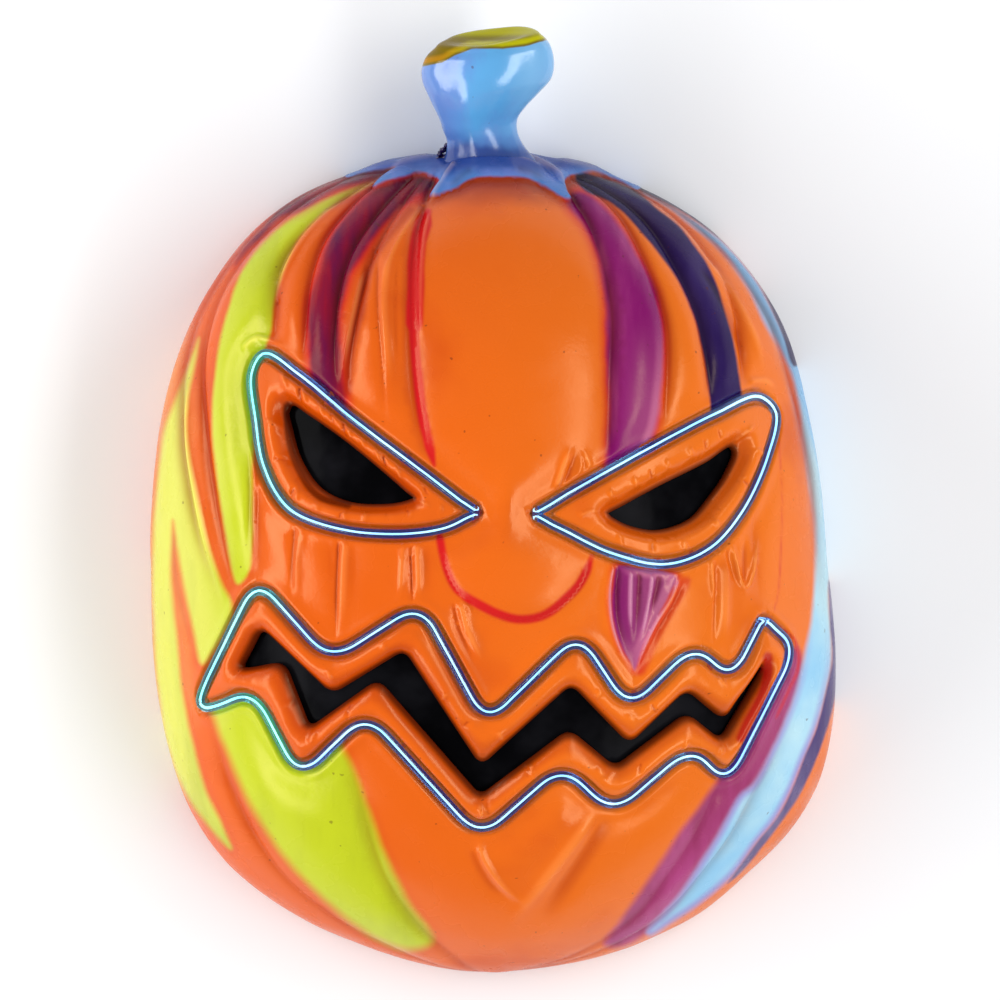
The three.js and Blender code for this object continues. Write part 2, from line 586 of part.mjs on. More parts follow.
// Rings of points over the open skin
function ringPoints() {
  const points = [];
  for (let ring = 0; ring < DOME_RINGS; ring += 1) {
    const climb = ((ring + 0.5) / DOME_RINGS) * (Math.PI / 2);
    const share = Math.sin(climb) ** (2 / SIDE_FULLNESS);
    const count = Math.max(6, Math.round((2 * Math.PI * share * MEAN_RADIUS) / PLAN_SPACING));
    for (let index = 0; index < count; index += 1) {
      const angle = ((index + (ring % 2) / 2) / count) * 2 * Math.PI - Math.PI;
      const radius = share * outlineRadius(angle);
      points.push([radius * Math.cos(angle), radius * Math.sin(angle)]);
    }
  }
  return points;
}

// The whole sheet of the shell: its points, its triangles, and the triangles that would fill it
function makeSheet() {
  const rowsOf = openings.map(openingRows);
  const skin = rowsOf.flatMap(([ridge]) => ridge);
  const near = (x, y, distance) => skin.some((other) => Math.hypot(other.x - x, other.y - y) < distance);
  const open = (x, y, margin) => openings.every(({ guard }) => (
    !insideLoop(guard, x, y) && distanceToLoop(guard, x, y) > margin));
  for (const [x, y] of featurePoints()) {
    if (open(x, y, FEATURE_CLEARANCE) && !near(x, y, FEATURE_CLEARANCE / 2)) skin.push(skinPoint(x, y));
  }
  for (const [x, y] of ribPoints()) {
    if (open(x, y, RIB_CLEARANCE) && !near(x, y, RIB_CLEARANCE)) skin.push(skinPoint(x, y));
  }
  for (const [x, y] of ringPoints()) {
    if (open(x, y, PLAN_CLEARANCE) && !near(x, y, PLAN_CLEARANCE)) skin.push(skinPoint(x, y));
  }
  for (let index = 0; index < RIM_POINTS; index += 1) {
    const angle = (index / RIM_POINTS) * 2 * Math.PI - Math.PI;
    const radius = outlineRadius(angle);
    skin.push({ ...skinPoint(radius * Math.cos(angle), radius * Math.sin(angle)), rim: true });
  }
  const filled = triangulate(skin.map(({ x, y }) => discPosition(x, y)));
  const triangles = filled.filter((triangle) => {
    const [x, y] = middleOf(skin, triangle);
    return openings.every(({ guard }) => !insideLoop(guard, x, y));
  });

  const sheet = [...skin];
  let ridgeStart = 0;
  openings.forEach(({ wire }, opening) => {
    const starts = [ridgeStart];
    for (const row of rowsOf[opening].slice(1)) {
      starts.push(sheet.length);
      sheet.push(...row);
    }
    triangles.push(...rowTriangles(wire, starts, starts.length));
    ridgeStart += wire.length;
  });
  return { skin, filled, sheet, triangles };
}

function toManifold(geometry) {
  const bare = new THREE.BufferGeometry();
  bare.setAttribute('position', geometry.getAttribute('position'));
  if (geometry.index) bare.setIndex(geometry.index);
  const merged = mergeVertices(bare, 1e-4);
  return new wasm.Manifold(new wasm.Mesh({
    numProp: 3,
    vertProperties: new Float32Array(merged.getAttribute('position').array),
    triVerts: new Uint32Array(merged.index.array),
  }));
}

function fromManifold(solid) {
  const mesh = solid.getMesh();
  const geometry = new THREE.BufferGeometry();
  geometry.setAttribute('position', new THREE.BufferAttribute(new Float32Array(mesh.vertProperties), 3));
  geometry.setIndex([...mesh.triVerts]);
  return geometry;
}

// The middle of a stem section, and the directions to its right edge, to its front and out of its end
function sectionFrame({ left, right, z, depth, tilt }) {
  const lean = THREE.MathUtils.degToRad(tilt);
  const middle = new THREE.Vector3((left[0] + right[0]) / 2, (left[1] + right[1]) / 2, z);
  const across = new THREE.Vector3((right[0] - left[0]) / 2, (right[1] - left[1]) / 2, 0);
  const front = new THREE.Vector3(0, -Math.sin(lean), Math.cos(lean)).multiplyScalar(depth);
  const axis = front.clone().cross(across).normalize();
  return { middle, across, front, axis };
}

// Lofts the stem between rings of its sections, closed at both ends
function stemGeometry(sections) {
  const frames = sections.map((section) => ({ ...sectionFrame(section), scale: 1, rise: 0 }));
  const end = frames.at(-1);
  const rings = [...frames, ...STEM_CAP.map((ring) => ({ ...end, ...ring }))];
  const positions = rings.flatMap(({ middle, across, front, axis, scale, rise }) => (
    Array.from({ length: STEM_SIDES }, (_, side) => {
      const angle = (side / STEM_SIDES) * 2 * Math.PI;
      return middle.clone().addScaledVector(axis, rise)
        .addScaledVector(across, scale * Math.cos(angle))
        .addScaledVector(front, scale * Math.sin(angle))
        .toArray();
    }).flat()));
  const corner = (level, side) => level * STEM_SIDES + (side % STEM_SIDES);
  const centre = rings.length * STEM_SIDES;
  positions.push(...frames[0].middle.toArray());
  positions.push(...end.middle.clone().addScaledVector(end.axis, STEM_DISH).toArray());
  const indices = [];
  for (let side = 0; side < STEM_SIDES; side += 1) {
    for (let level = 0; level < rings.length - 1; level += 1) {
      const [a, b] = [corner(level, side), corner(level, side + 1)];
      const [c, d] = [corner(level + 1, side), corner(level + 1, side + 1)];
      indices.push(a, c, b, b, c, d);
    }
    indices.push(centre, corner(0, side), corner(0, side + 1));
    indices.push(centre + 1, corner(rings.length - 1, side + 1), corner(rings.length - 1, side));
  }
  const geometry = new THREE.BufferGeometry();
  geometry.setAttribute('position', new THREE.Float32BufferAttribute(positions, 3));
  geometry.setIndex(indices);
  return geometry;
}

// The stem's hollow: every section set in by the wall, lower under the end face and deeper at the foot
function stemCore() {
  const last = STEM_SECTIONS.length - 1;
  const sections = STEM_SECTIONS.map(({ left, right, z, depth, tilt }, level) => {
    const drop = level === 0 ? STEM_CORE_DEPTH : STEM_END_WALL * (level / last);
    return {
      left: [left[0] + STEM_WALL, left[1] - drop],
      right: [right[0] - STEM_WALL, right[1] - drop],
      z,
      depth: depth - STEM_WALL,
      tilt,
    };
  });
  return stemGeometry(sections);
}

// A point at a height over the finished skin
function lifted({ x, y }, height) {
  const { point, normal } = domePoint(x, y);
  return point.addScaledVector(normal, skinHeight(x, y) + height);
}

// The two ends of a loop go in side by side at its first point, where this hole lets them through
function wireEnds(wire) {
  const { normal } = domePoint(wire[0].x, wire[0].y);
  const middle = lifted(wire[0], 0);
  const across = lifted(wire[1], 0).sub(lifted(wire.at(-1), 0)).normalize();
  const end = (side, height) => middle.clone().addScaledVector(across, side * WIRE_END_SPREAD)
    .addScaledVector(normal, height);
  return { normal, middle, end };
}

function wireHole(wire) {
  const { normal, middle } = wireEnds(wire);
  const radius = WIRE_HOLE.diameter / 2;
  const hole = new THREE.CylinderGeometry(radius, radius, WIRE_HOLE.length, WIRE_HOLE.sides);
  hole.applyQuaternion(new THREE.Quaternion().setFromUnitVectors(new THREE.Vector3(0, 1, 0), normal));
  hole.translate(...middle.addScaledVector(normal, -WIRE_HOLE.drop).toArray());
  return toManifold(hole);
}

function makeShell() {
  const { skin, filled, sheet, triangles } = makeSheet();
  const drop = (point, z) => new THREE.Vector3(point.x, point.y, z);
  const shell = toManifold(closeSheet(sheet, triangles, ({ outer, inner, rim }) => (
    rim ? [outer, drop(outer, 0), drop(inner, 0), inner] : [outer, inner])));

  // What fills the inside, used to trim the stem where it meets the inner face
  const inside = skin.map(({ x, y, inner }) => ({ x, y, outer: inner, inner: drop(inner, -BAND_HEIGHT) }));
  const hollow = toManifold(closeSheet(inside, filled, ({ outer, inner }) => [outer, inner]));

  const stem = toManifold(stemGeometry(STEM_SECTIONS)).subtract(hollow);
  let solid = shell.add(stem).subtract(toManifold(stemCore()));
  for (const { wire } of openings) solid = solid.subtract(wireHole(wire));
  return fromManifold(solid);
}

// A path that steps exactly from point to point
class PointPath extends THREE.Curve {
  constructor(points) {
    super();
    this.points = points;
  }

  getUtoTmapping(share) {
    return share;
  }

  getPoint(share, target = new THREE.Vector3()) {
    const place = THREE.MathUtils.clamp(share, 0, 1) * (this.points.length - 1);
    const from = Math.min(Math.floor(place), this.points.length - 2);
    return target.copy(this.points[from]).lerp(this.points[from + 1], place - from);
  }
}

function makeWire({ wire }) {
  const { end } = wireEnds(wire);
  const route = [
    end(1, -WIRE_END_DEPTH),
    end(1, WIRE_LIFT / 2),
    ...wire.slice(1).map((point) => lifted(point, WIRE_LIFT)),
    end(-1, WIRE_LIFT / 2),
    end(-1, -WIRE_END_DEPTH),
  ];
  const section = new THREE.Shape();
  for (let side = 0; side < WIRE_SIDES; side += 1) {
    const angle = (side / WIRE_SIDES) * 2 * Math.PI;
    const x = (WIRE_DIAMETER / 2) * Math.cos(angle);
    const y = (WIRE_DIAMETER / 2) * Math.sin(angle);
    if (side === 0) section.moveTo(x, y);
    else section.lineTo(x, y);
  }
  section.closePath();
  return new THREE.ExtrudeGeometry(section, {
    steps: route.length - 1,
    bevelEnabled: false,
    extrudePath: new PointPath(route),
  });
}

function makeFilm({ wire, hole, section }) {
  const top = section.rim - WALL - GAP * 2;
  const level = (x, y) => skinPoint(x, y, top, top - FILM_THICKNESS);
  const edge = hole.map((point, index) => point.clone().lerp(wire[index], FILM_MARGIN));
  const skin = edge.map(({ x, y }) => level(x, y));
  const bounds = new THREE.Box2().setFromPoints(edge);
  for (let x = bounds.min.x; x < bounds.max.x; x += FILM_SPACING) {
    for (let y = bounds.min.y; y < bounds.max.y; y += FILM_SPACING) {
      const clear = insideLoop(edge, x, y) && distanceToLoop(edge, x, y) > FILM_EDGE_CLEARANCE;
      if (clear) skin.push(level(x, y));
    }
  }
  const triangles = triangulate(skin.map(({ x, y }) => new THREE.Vector2(x, y)))
    .filter((triangle) => insideLoop(edge, ...middleOf(skin, triangle)));
  return closeSheet(skin, triangles, ({ outer, inner }) => [outer, inner]);
}

const vinyl = new THREE.MeshStandardMaterial({ color: 0xee6c1e, roughness: 0.38, metalness: 0 });
const glow = new THREE.MeshStandardMaterial({
  color: 0xbfeaff, roughness: 0.25, metalness: 0, emissive: 0x3fb8ff, emissiveIntensity: 0.6,
});
const darkFilm = new THREE.MeshStandardMaterial({ color: 0x08080a, roughness: 0.15, metalness: 0 });

function part(name, geometry, material) {
  geometry.computeVertexNormals();
  const mesh = new THREE.Mesh(geometry, material.clone());
  mesh.name = name;
  return mesh;
}

const mask = new THREE.Group();
mask.add(part('mask_shell', makeShell(), vinyl));
for (const opening of openings) {
  mask.add(part(`${opening.name}_wire`, makeWire(opening), glow));
  mask.add(part(`${opening.name}_film`, makeFilm(opening), darkFilm));
}

export default mask;
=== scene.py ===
"""Looks for the light-up pumpkin mask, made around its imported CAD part. It lies on its rim, face up.

The shell's skin is a dome over a plan of the face. Ribs, channels, bands, folds and the collar are heights
over that dome, and painted areas are depths inside outlines drawn over the photograph.
"""

import bpy
import numpy as np
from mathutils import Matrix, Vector
from mathutils.geometry import delaunay_2d_cdt


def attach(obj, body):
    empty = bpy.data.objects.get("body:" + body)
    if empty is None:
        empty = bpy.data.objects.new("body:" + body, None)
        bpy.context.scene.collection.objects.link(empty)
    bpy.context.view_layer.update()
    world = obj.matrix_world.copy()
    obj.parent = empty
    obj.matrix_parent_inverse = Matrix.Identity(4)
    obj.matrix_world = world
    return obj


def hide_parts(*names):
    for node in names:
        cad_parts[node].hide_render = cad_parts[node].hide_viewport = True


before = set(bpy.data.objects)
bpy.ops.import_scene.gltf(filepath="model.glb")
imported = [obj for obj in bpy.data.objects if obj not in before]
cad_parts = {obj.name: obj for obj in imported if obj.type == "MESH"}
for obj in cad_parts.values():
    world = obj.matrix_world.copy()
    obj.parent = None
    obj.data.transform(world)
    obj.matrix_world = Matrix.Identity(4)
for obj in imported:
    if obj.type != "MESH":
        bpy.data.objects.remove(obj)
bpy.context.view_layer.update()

# Millimetres for a pixel of the photograph, the pixel on the part's axis, the photograph's side and middle
PIXEL = 0.30
AXIS_PIXEL = (494.0, 499.5)
PHOTO_SIDE = 1000
PHOTO_MIDDLE = (500.0, 500.0)
METRES = 0.001

CAMERA_HEIGHT = 6.6
SENSOR = 36.0
# Height of the part of the face that is seen at the photograph's scale
FACE_HEIGHT = 0.045

# The floor, the world's light and two long lights beside the mask: place, size and power
FLOOR_SIDE = 6.0
FLOOR_COLORS = [(240, 240, 241), (244, 244, 244)]
WORLD_COLOR = (0.95, 0.97, 1.0, 1)
WORLD_STRENGTH = 0.45
LIGHT_TARGET = (0, 0, 0.05)
LIGHTS = [
    ("left_light", (-1.25, -0.1, 0.65), (2.4, 0.5), 22),
    ("right_light", (0.95, -0.1, 1.15), (2.4, 0.45), 19),
]


def pairs(text):
    """Points that are written as x,y words."""
    return np.array([word.split(",") for word in text.split()], float)


def strokes(text, measures=1):
    """Lines that are written between semicolons, each as its measures and then its points."""
    rows = [row.split(maxsplit=measures) for row in text.split(";")]
    return [(pairs(row[-1]), *(float(number) for number in row[:-1])) for row in rows]


def plan(pixels):
    """Plan millimetres of points given as pixels of the photograph."""
    x, y = np.asarray(pixels, float).T
    return np.column_stack([x - AXIS_PIXEL[0], AXIS_PIXEL[1] - y]) * PIXEL


def make_camera():
    middle = plan([PHOTO_MIDDLE])[0] * METRES
    camera = bpy.data.objects.new("camera", bpy.data.cameras.new("camera"))
    camera.data.sensor_width = SENSOR
    camera.data.lens = SENSOR * (CAMERA_HEIGHT - FACE_HEIGHT) / (PHOTO_SIDE * PIXEL * METRES)
    camera.data.clip_end = 50
    camera.location = (middle[0], middle[1], CAMERA_HEIGHT)
    bpy.context.scene.collection.objects.link(camera)
    bpy.context.scene.camera = camera


make_camera()

# Driving dimensions of the shell in millimetres, as in the part's source
BAND_HEIGHT = 6
DOME_HEIGHT = 87
SIDE_FULLNESS = 2.3
WALL = 2
GAP = 0.3
WIRE_DIAMETER = 2.8
CORE_RADIUS = 0.21
JACKET_SIDES = 14
CORE_SIDES = 8
WIRE_LIFT = 0.3
WIRE_WOBBLE = 0.12
WIRE_END_SPREAD = 0.7
WIRE_END_DEPTH = 2.2
CHANNEL_MOUTH = 2.9
FILM_THICKNESS = 0.6
FILM_MARGIN = 0.4
FILM_REACH = 3.2
WIRE_CORNER = 9
HOLE_CORNER = 3.5
MOUTH_WIRE_TIP = 3
MOUTH_HOLE_TIP = 0.5

# Heights over the dome across a channel, by the distance from the wire's middle in millimetres
OUTER_BANK = [(0, -1.6), (1.7, -1.6), (2.05, -1.3), (2.6, 0.2), (2.9, 0.65)]
OUTER_BANK += [(gap, 0.8 * np.exp(-(((gap - 3.3) / 2) ** 2))) for gap in np.arange(3.1, 8.5, 0.3)]
INNER_BANK = [(0, -1.6), (1.7, -1.6), (2.05, -1.3), (2.6, 0.1), (3.0, 0.7), (4.2, 4)]
# Heights over the dome across a band, by the share of the way from the wire's middle to the edge of the hole
MOUTH_BAND = [
    (0, 0.3), (0.3, 0.9), (0.45, 1.7), (0.55, 1.9), (0.68, 1.65), (0.82, 0.7), (0.93, -0.8), (1, -1.8),
]
EYE_BAND = [
    (0, 0.3), (0.25, 0.8), (0.5, 1.15), (0.62, 1.0), (0.72, 0.2), (0.84, -2.2), (0.92, -3.2), (0.96, -3.1),
    (1, -3.6),
]

# The outline and the openings in plan millimetres
OUTLINE = pairs("""
    1.8,102.3 23,100.3 45.6,93 62.6,83 74.3,71.5 85.8,54.6 92.4,34.6 97.6,8.9 100.4,-18.2 102.9,-43.9
    102.1,-68.1 97.7,-84.7 89.4,-98.9 75.8,-112.8 58.9,-126.1 33.5,-137 10,-141.8 -4.8,-142.4 -21.8,-139.8
    -41.4,-133.3 -58.6,-125.4 -80.2,-109.2 -94,-87.1 -102.1,-54.5 -103.5,-21.2 -102.8,0 -100.5,20.9
    -95.9,40.7 -87.6,60.2 -77.7,75.1 -67.7,85 -56,92.8 -39.9,99.1 -19.3,101.9
""")
LEFT_EYE = {
    "wire": pairs("""
        -5.7,-3.8 -10.5,0.1 -19.2,6.8 -41.7,23.8 -58.2,37.4 -68.4,43.6 -72.2,38.2 -71.1,23.8 -68.4,9.4
        -61.2,-2.5 -47.1,-8.5 -28.2,-10.3 -14.7,-8.5 -9.3,-6.1
    """),
    "hole": pairs("""
        -23.7,0.4 -26.1,2.5 -30.6,6.5 -44.1,17.6 -55.5,25.6 -60.6,28.6 -62.1,26.6 -61.2,21.8 -58.2,11.8
        -51.9,3.1 -42.6,-1.1 -31.2,-1.6 -26.7,-0.8 -24.6,-0.1
    """),
}
RIGHT_EYE = {
    "wire": pairs("""
        12.9,-4.3 17.1,-1.3 24,2.9 45.3,14.8 66.6,25.9 78.9,30.8 84.2,26.2 81.9,13.3 73.8,-4 63.9,-14.8
        50.7,-19.3 34.5,-15.8 21.3,-9.4 16.2,-6.8
    """),
    "hole": pairs("""
        33.9,-4 34.8,-3.4 37.2,-2.2 48.3,3.8 63.6,11.5 71.1,16.1 72.3,14.2 69.9,7.9 64.5,0.1 58.8,-6.1
        48.6,-9.4 39.9,-7.9 35.7,-5.8 34.5,-5
    """),
}
MOUTH = {
    "wire": pairs("""
        80.4,-35.4 90.3,-44.5 69.9,-84.8 58.5,-74 35.4,-93.8 20.4,-79.3 -4.2,-101 -38.1,-63.8 -58.2,-83.2
        -71.7,-57.1 -85.8,-63.1 -88.8,-60.1 -70.8,-23.6 -48.9,-48.1 -21.9,-31 -2.4,-66.8 25.2,-39.8
        40.2,-62.5 59.4,-43.6 71.1,-53.5
    """),
    "hole": pairs("""
        79.5,-49.4 81.3,-50.5 68.1,-72.5 57.9,-64.3 36.3,-80.5 22.5,-69.1 -4.2,-89.2 -34.8,-54.1 -55.5,-68.8
        -63.3,-48.8 -74.4,-50.9 -75.9,-49.9 -69.6,-37.9 -48.3,-57.8 -26.7,-44.5 -3.9,-79.3 23.1,-54.8
        40.5,-72.8 57.6,-56.5 68.7,-65.8
    """),
}

# Creases between the ribs, as heights on the face and shares of its half width there
UPPER_CREASES = [
    [(55, -0.98), (33, -0.95), (0, -0.88), (-31, -0.79)],
    [(94, -0.9), (62, -0.94), (18, -0.84), (-25, -0.75)],
    [(94, -0.7), (73, -0.76), (49, -0.695), (-20, -0.68)],
    [(94, -0.62), (76, -0.65), (45, -0.59), (0, -0.55)],
    [(94, -0.45), (73, -0.52), (50, -0.5), (30, -0.46)],
    [(94, -0.37), (72, -0.43), (30, -0.43), (0, -0.4)],
    [(94, -0.28), (73, -0.28), (39, -0.23), (12, -0.18)],
    [(94, 0.5), (73, 0.46), (39, 0.4), (15, 0.37)],
    [(94, 0.66), (76, 0.62), (47, 0.59), (20, 0.54)],
    [(94, 0.74), (71, 0.72), (33, 0.7), (0, 0.68)],
    [(94, 0.92), (73, 0.88), (33, 0.81), (0, 0.78)],
    [(94, 0.96), (75, 0.955), (42, 0.96), (10, 0.97)],
]
UPPER_RIB_HEIGHTS = [2, 2.8, 3.8, 2.2, 3.8, 1.8, 2.4, 4.6, 3.8, 2.2, 4, 2.2, 2.2]
LOWER_CREASES = [
    [(-60, -0.86), (-90, -0.83), (-130, -0.82)],
    [(-60, -0.5), (-90, -0.44), (-130, -0.42)],
    [(-60, 0.72), (-90, 0.68), (-130, 0.7)],
    [(-60, 0.9), (-90, 0.8), (-130, 0.84)],
]
LOWER_RIB_HEIGHTS = [2.2, 3, 2.8, 2, 2.2]
RIB_STEEPNESS = 0.22
CREASE_ROUNDNESS = 0.025
NOSE = {"x": 6.6, "y": -14.6, "radius": 21.6, "height": 4.2}
NOSE_FLATTENING = 0.7
NOSE_BLEND = 2.0
NOSE_GROOVE = {"depth": 0.9, "half_width": 0.8, "outside": 0.6}
# How far from a channel's mouth the ribs reach most of their height
BODY_REACH = 5.0
# How far from its middle a crease's shade is seen
CREASE_WIDTH = 1.6

# The leafy collar as it is seen, closed beyond the outline
COLLAR = pairs("""
    44.1,94 42.9,92.8 40.5,94.2 37.8,95.4 33.9,96.3 30.3,96.9 25.8,96.9 22.5,96.1 21,94.6 21.6,91.6
    22.9,89.5 21.3,89.5 18.9,90.8 15.9,92.8 12.9,94.6 9.3,95.8 5.4,96 0.9,96 -2.7,96.1 -5.7,95.7 -8.7,94.6
    -11.7,93.1 -14.7,92 -17.1,90.8 -19.1,90.5 -17.7,92.8 -16.2,95 -17.7,96.3 -20.7,97.3 -23.4,97.3
    -26.1,96.1 -29.1,95.4 -32.1,94.5 -36.3,93.3 -34.5,95.4 -31.8,97 -29.4,98.2 -32.4,98.4 -36.6,98
    -40.2,97.5 -44.4,96.5 -44.7,100.3 -28.2,110.8 31.8,110.8
""")
COLLAR_HEIGHT = 2
COLLAR_EDGE = 2.2
COLLAR_TAPER = {"from": 30, "to": 44, "amount": 0.8}
# The flare of the skin around the stem's foot, which is an oval seen along the stem
FOOT = {"x": -0.3, "z": 24.2, "across": 16.4, "deep": 14.6, "reach": 0.7, "height": 0.8, "front": 2.2}

# Sections of the stem: x and y of its left edge and its right edge, height, half depth and tilt in degrees
STEM_SECTIONS = [
    (-18, 92, 16, 92, 23.5, 15, 0),
    (-17, 99.6, 16.5, 99.2, 24, 14.6, 0),
    (-14.6, 103.2, 12.6, 102.6, 24.3, 12.6, 2),
    (-14, 107.9, 8.9, 106.9, 25, 11, 5),
    (-15.2, 111.2, 7.2, 110.9, 25.8, 10.6, 7),
    (-16.2, 114.5, 7.2, 114.8, 27, 11, 9),
    (-18, 118.4, 9.6, 118.6, 28.4, 12, 11),
    (-19.8, 122.3, 13.6, 122.9, 29.8, 13, 12),
    (-21.2, 126, 17.4, 127.4, 31, 13.8, 13),
    (-21.4, 129.4, 18.2, 132, 32.2, 14, 14),
    (-20, 133.2, 17, 137.2, 33.2, 13, 15),
    (-17.2, 136, 14.2, 140, 33.8, 11.2, 16),
]

# How finely the skin is divided
SPACING = 1.25
CHANNEL_SPACING = 0.9
INNER_SPACING = 4.0
MEASURE_SPACING = 1.4
FILM_EDGE_SPACING = 1.6
FILM_SPACING = 3
# Least distances between points of each kind where the skin is laid flat
APART = {
    "wire": 0.24, "hole": 0.3, "fold": 0.4, "collar": 0.35, "crease": 0.5, "beside crease": 0.55, "nose": 0.5,
}
# Heights on the face of the points along the creases
UPPER_STEPS = np.concatenate([np.arange(-30, 80, 0.9), np.arange(80, 97, 0.5)])
LOWER_STEPS = np.arange(-132, -60, 0.9)
# How far a crease's points keep from a wire, and the longest edge between two of them
CREASE_CLEARANCE = 3.5
LONGEST_EDGE = 2.2
EYE_COUNT = 400


def smoothstep(low, high, value):
    share = np.clip((value - low) / (high - low), 0, 1)
    return share * share * (3 - 2 * share)


def catmull_rom(points, places, closed):
    """Points of a centripetal Catmull-Rom curve at places counted in its own points."""
    count = len(points)
    start = np.floor(places).astype(int)
    if not closed:
        start = np.minimum(start, count - 2)
        points = np.vstack([2 * points[0] - points[1], points, 2 * points[-1] - points[-2]])
        start = start + 1
        places = places + 1
    share = (places - start)[:, None]
    total = len(points)
    p0, p1, p2, p3 = (points[(start + step) % total] for step in (-1, 0, 1, 2))
    steps = ((p0, p1), (p1, p2), (p2, p3))
    d0, d1, d2 = (np.sum((b - a) ** 2, axis=1, keepdims=True) ** 0.25 for a, b in steps)
    slope1 = ((p1 - p0) / d0 - (p2 - p0) / (d0 + d1) + (p2 - p1) / d1) * d1
    slope2 = ((p2 - p1) / d1 - (p3 - p1) / (d1 + d2) + (p3 - p2) / d2) * d1
    square = 3 * (p2 - p1) - 2 * slope1 - slope2
    cube = 2 * (p1 - p2) + slope1 + slope2
    return p1 + share * (slope1 + share * (square + share * cube))


def closed_curve(points, count):
    points = np.asarray(points, float)
    return catmull_rom(points, np.arange(count) * len(points) / count, True)


def open_curve(points, steps=10):
    points = np.asarray(points, float)
    return catmull_rom(points, np.linspace(0, len(points) - 1, (len(points) - 1) * steps + 1), False)


def even_loop(loop, spacing):
    """A closed loop again, in even steps from the same first point."""
    closed = np.vstack([loop, loop[:1]])
    run = np.concatenate([[0], np.cumsum(np.linalg.norm(np.diff(closed, axis=0), axis=1))])
    count = max(int(round(run[-1] / spacing)), 8)
    places = np.arange(count) * run[-1] / count
    return np.column_stack([np.interp(places, run, closed[:, axis]) for axis in range(loop.shape[1])])


def rounded_loop(corners, reach, first_reach, steps=14):
    """A zigzag with rounded corners, from the middle of its first corner."""
    shares = np.linspace(0, 1, steps)[:, None]
    loop = []
    for index, corner in enumerate(corners):
        arms = []
        for other in (corners[index - 1], corners[(index + 1) % len(corners)]):
            length = np.linalg.norm(other - corner)
            step = min(reach if index else first_reach, 0.42 * length)
            arms.append(corner + (other - corner) * step / length)
        loop.append((1 - shares) ** 2 * arms[0] + 2 * shares * (1 - shares) * corner + shares**2 * arms[1])
    return np.roll(np.vstack(loop), -(steps // 2), axis=0)


def through_knots(knots, position):
    """A smooth curve through (position, value) knots in falling order, level beyond both ends."""
    at, value = np.array(knots[::-1], float).T
    low = np.maximum(np.arange(len(at)) - 1, 0)
    high = np.minimum(np.arange(len(at)) + 1, len(at) - 1)
    slope = (value[high] - value[low]) / (at[high] - at[low])
    place = np.clip(position, at[0], at[-1])
    index = np.clip(np.searchsorted(at, place) - 1, 0, len(at) - 2)
    span = at[index + 1] - at[index]
    share = (place - at[index]) / span
    square, cube = share**2, share**3
    return (
        (2 * cube - 3 * square + 1) * value[index]
        + (cube - 2 * square + share) * slope[index] * span
        + (3 * square - 2 * cube) * value[index + 1]
        + (cube - square) * slope[index + 1] * span
    )


def distance_to(points, line, closed=True, step=2048):
    """The distance from each point to a line, and where along it, from 0 to 1, it is nearest."""
    starts = line if closed else line[:-1]
    runs = (np.roll(line, -1, axis=0) - line) if closed else np.diff(line, axis=0)
    squares = np.maximum(np.sum(runs * runs, axis=1), 1e-12)
    lengths = np.sqrt(squares)
    before = np.concatenate([[0], np.cumsum(lengths)[:-1]])
    nearest, along = np.empty((2, len(points)))
    for first in range(0, len(points), step):
        some = slice(first, first + step)
        away = points[some, None, :] - starts[None]
        share = np.clip(np.einsum("ijk,jk->ij", away, runs) / squares, 0, 1)
        gaps = np.sum((away - share[:, :, None] * runs) ** 2, axis=2)
        best = np.argmin(gaps, axis=1)
        rows = np.arange(len(best))
        nearest[some] = np.sqrt(gaps[rows, best])
        along[some] = (before[best] + share[rows, best] * lengths[best]) / lengths.sum()
    return nearest, along


def inside(points, loop, step=4096):
    """Whether each point lies inside a closed loop."""
    (ax, ay), (bx, by) = loop.T, np.roll(loop, 1, axis=0).T
    rise = np.where(by == ay, 1, by - ay)
    result = np.zeros(len(points), bool)
    for first in range(0, len(points), step):
        x, y = points[first : first + step].T[:, :, None]
        crossings = ((ay > y) != (by > y)) & (x < (bx - ax) * (y - ay) / rise + ax)
        result[first : first + step] = crossings.sum(axis=1) % 2 == 1
    return result


def turns_left(loop):
    """Whether a closed loop runs anticlockwise."""
    (x, y), (next_x, next_y) = loop.T, np.roll(loop, -1, axis=0).T
    return np.sum(x * next_y - next_x * y) > 0


def depth_in(points, loop):
    """The distance to a closed loop, positive inside it."""
    gap, _ = distance_to(points, loop)
    return np.where(inside(points, loop), gap, -gap)


# The outline as a radius for each direction, and as a middle and half width for each height on the face
ring = closed_curve(OUTLINE, 720)
ring_angle = np.arctan2(ring[:, 1], ring[:, 0])
ring_order = np.argsort(ring_angle)
ring_angle = ring_angle[ring_order]
ring_radius = np.linalg.norm(ring, axis=1)[ring_order]


def outline_radius(angle):
    return np.interp(angle, ring_angle, ring_radius, period=2 * np.pi)


def make_width_table():
    heights = np.linspace(ring[:, 1].min() + 0.05, ring[:, 1].max() - 0.05, 400)[:, None]
    (x, y), (next_x, next_y) = ring.T, np.roll(ring, -1, axis=0).T
    rise = next_y - y
    crosses = (y - heights) * (next_y - heights) <= 0
    edge = x + (next_x - x) * (heights - y) / np.where(rise == 0, 1, rise)
    left = np.where(crosses, edge, 0).min(axis=1)
    right = np.where(crosses, edge, 0).max(axis=1)
    return heights[:, 0], (left + right) / 2, np.maximum((right - left) / 2, 1)


width_heights, width_middles, width_halves = make_width_table()


def plan_share(points):
    return np.hypot(points[:, 0], points[:, 1]) / outline_radius(np.arctan2(points[:, 1], points[:, 0]))


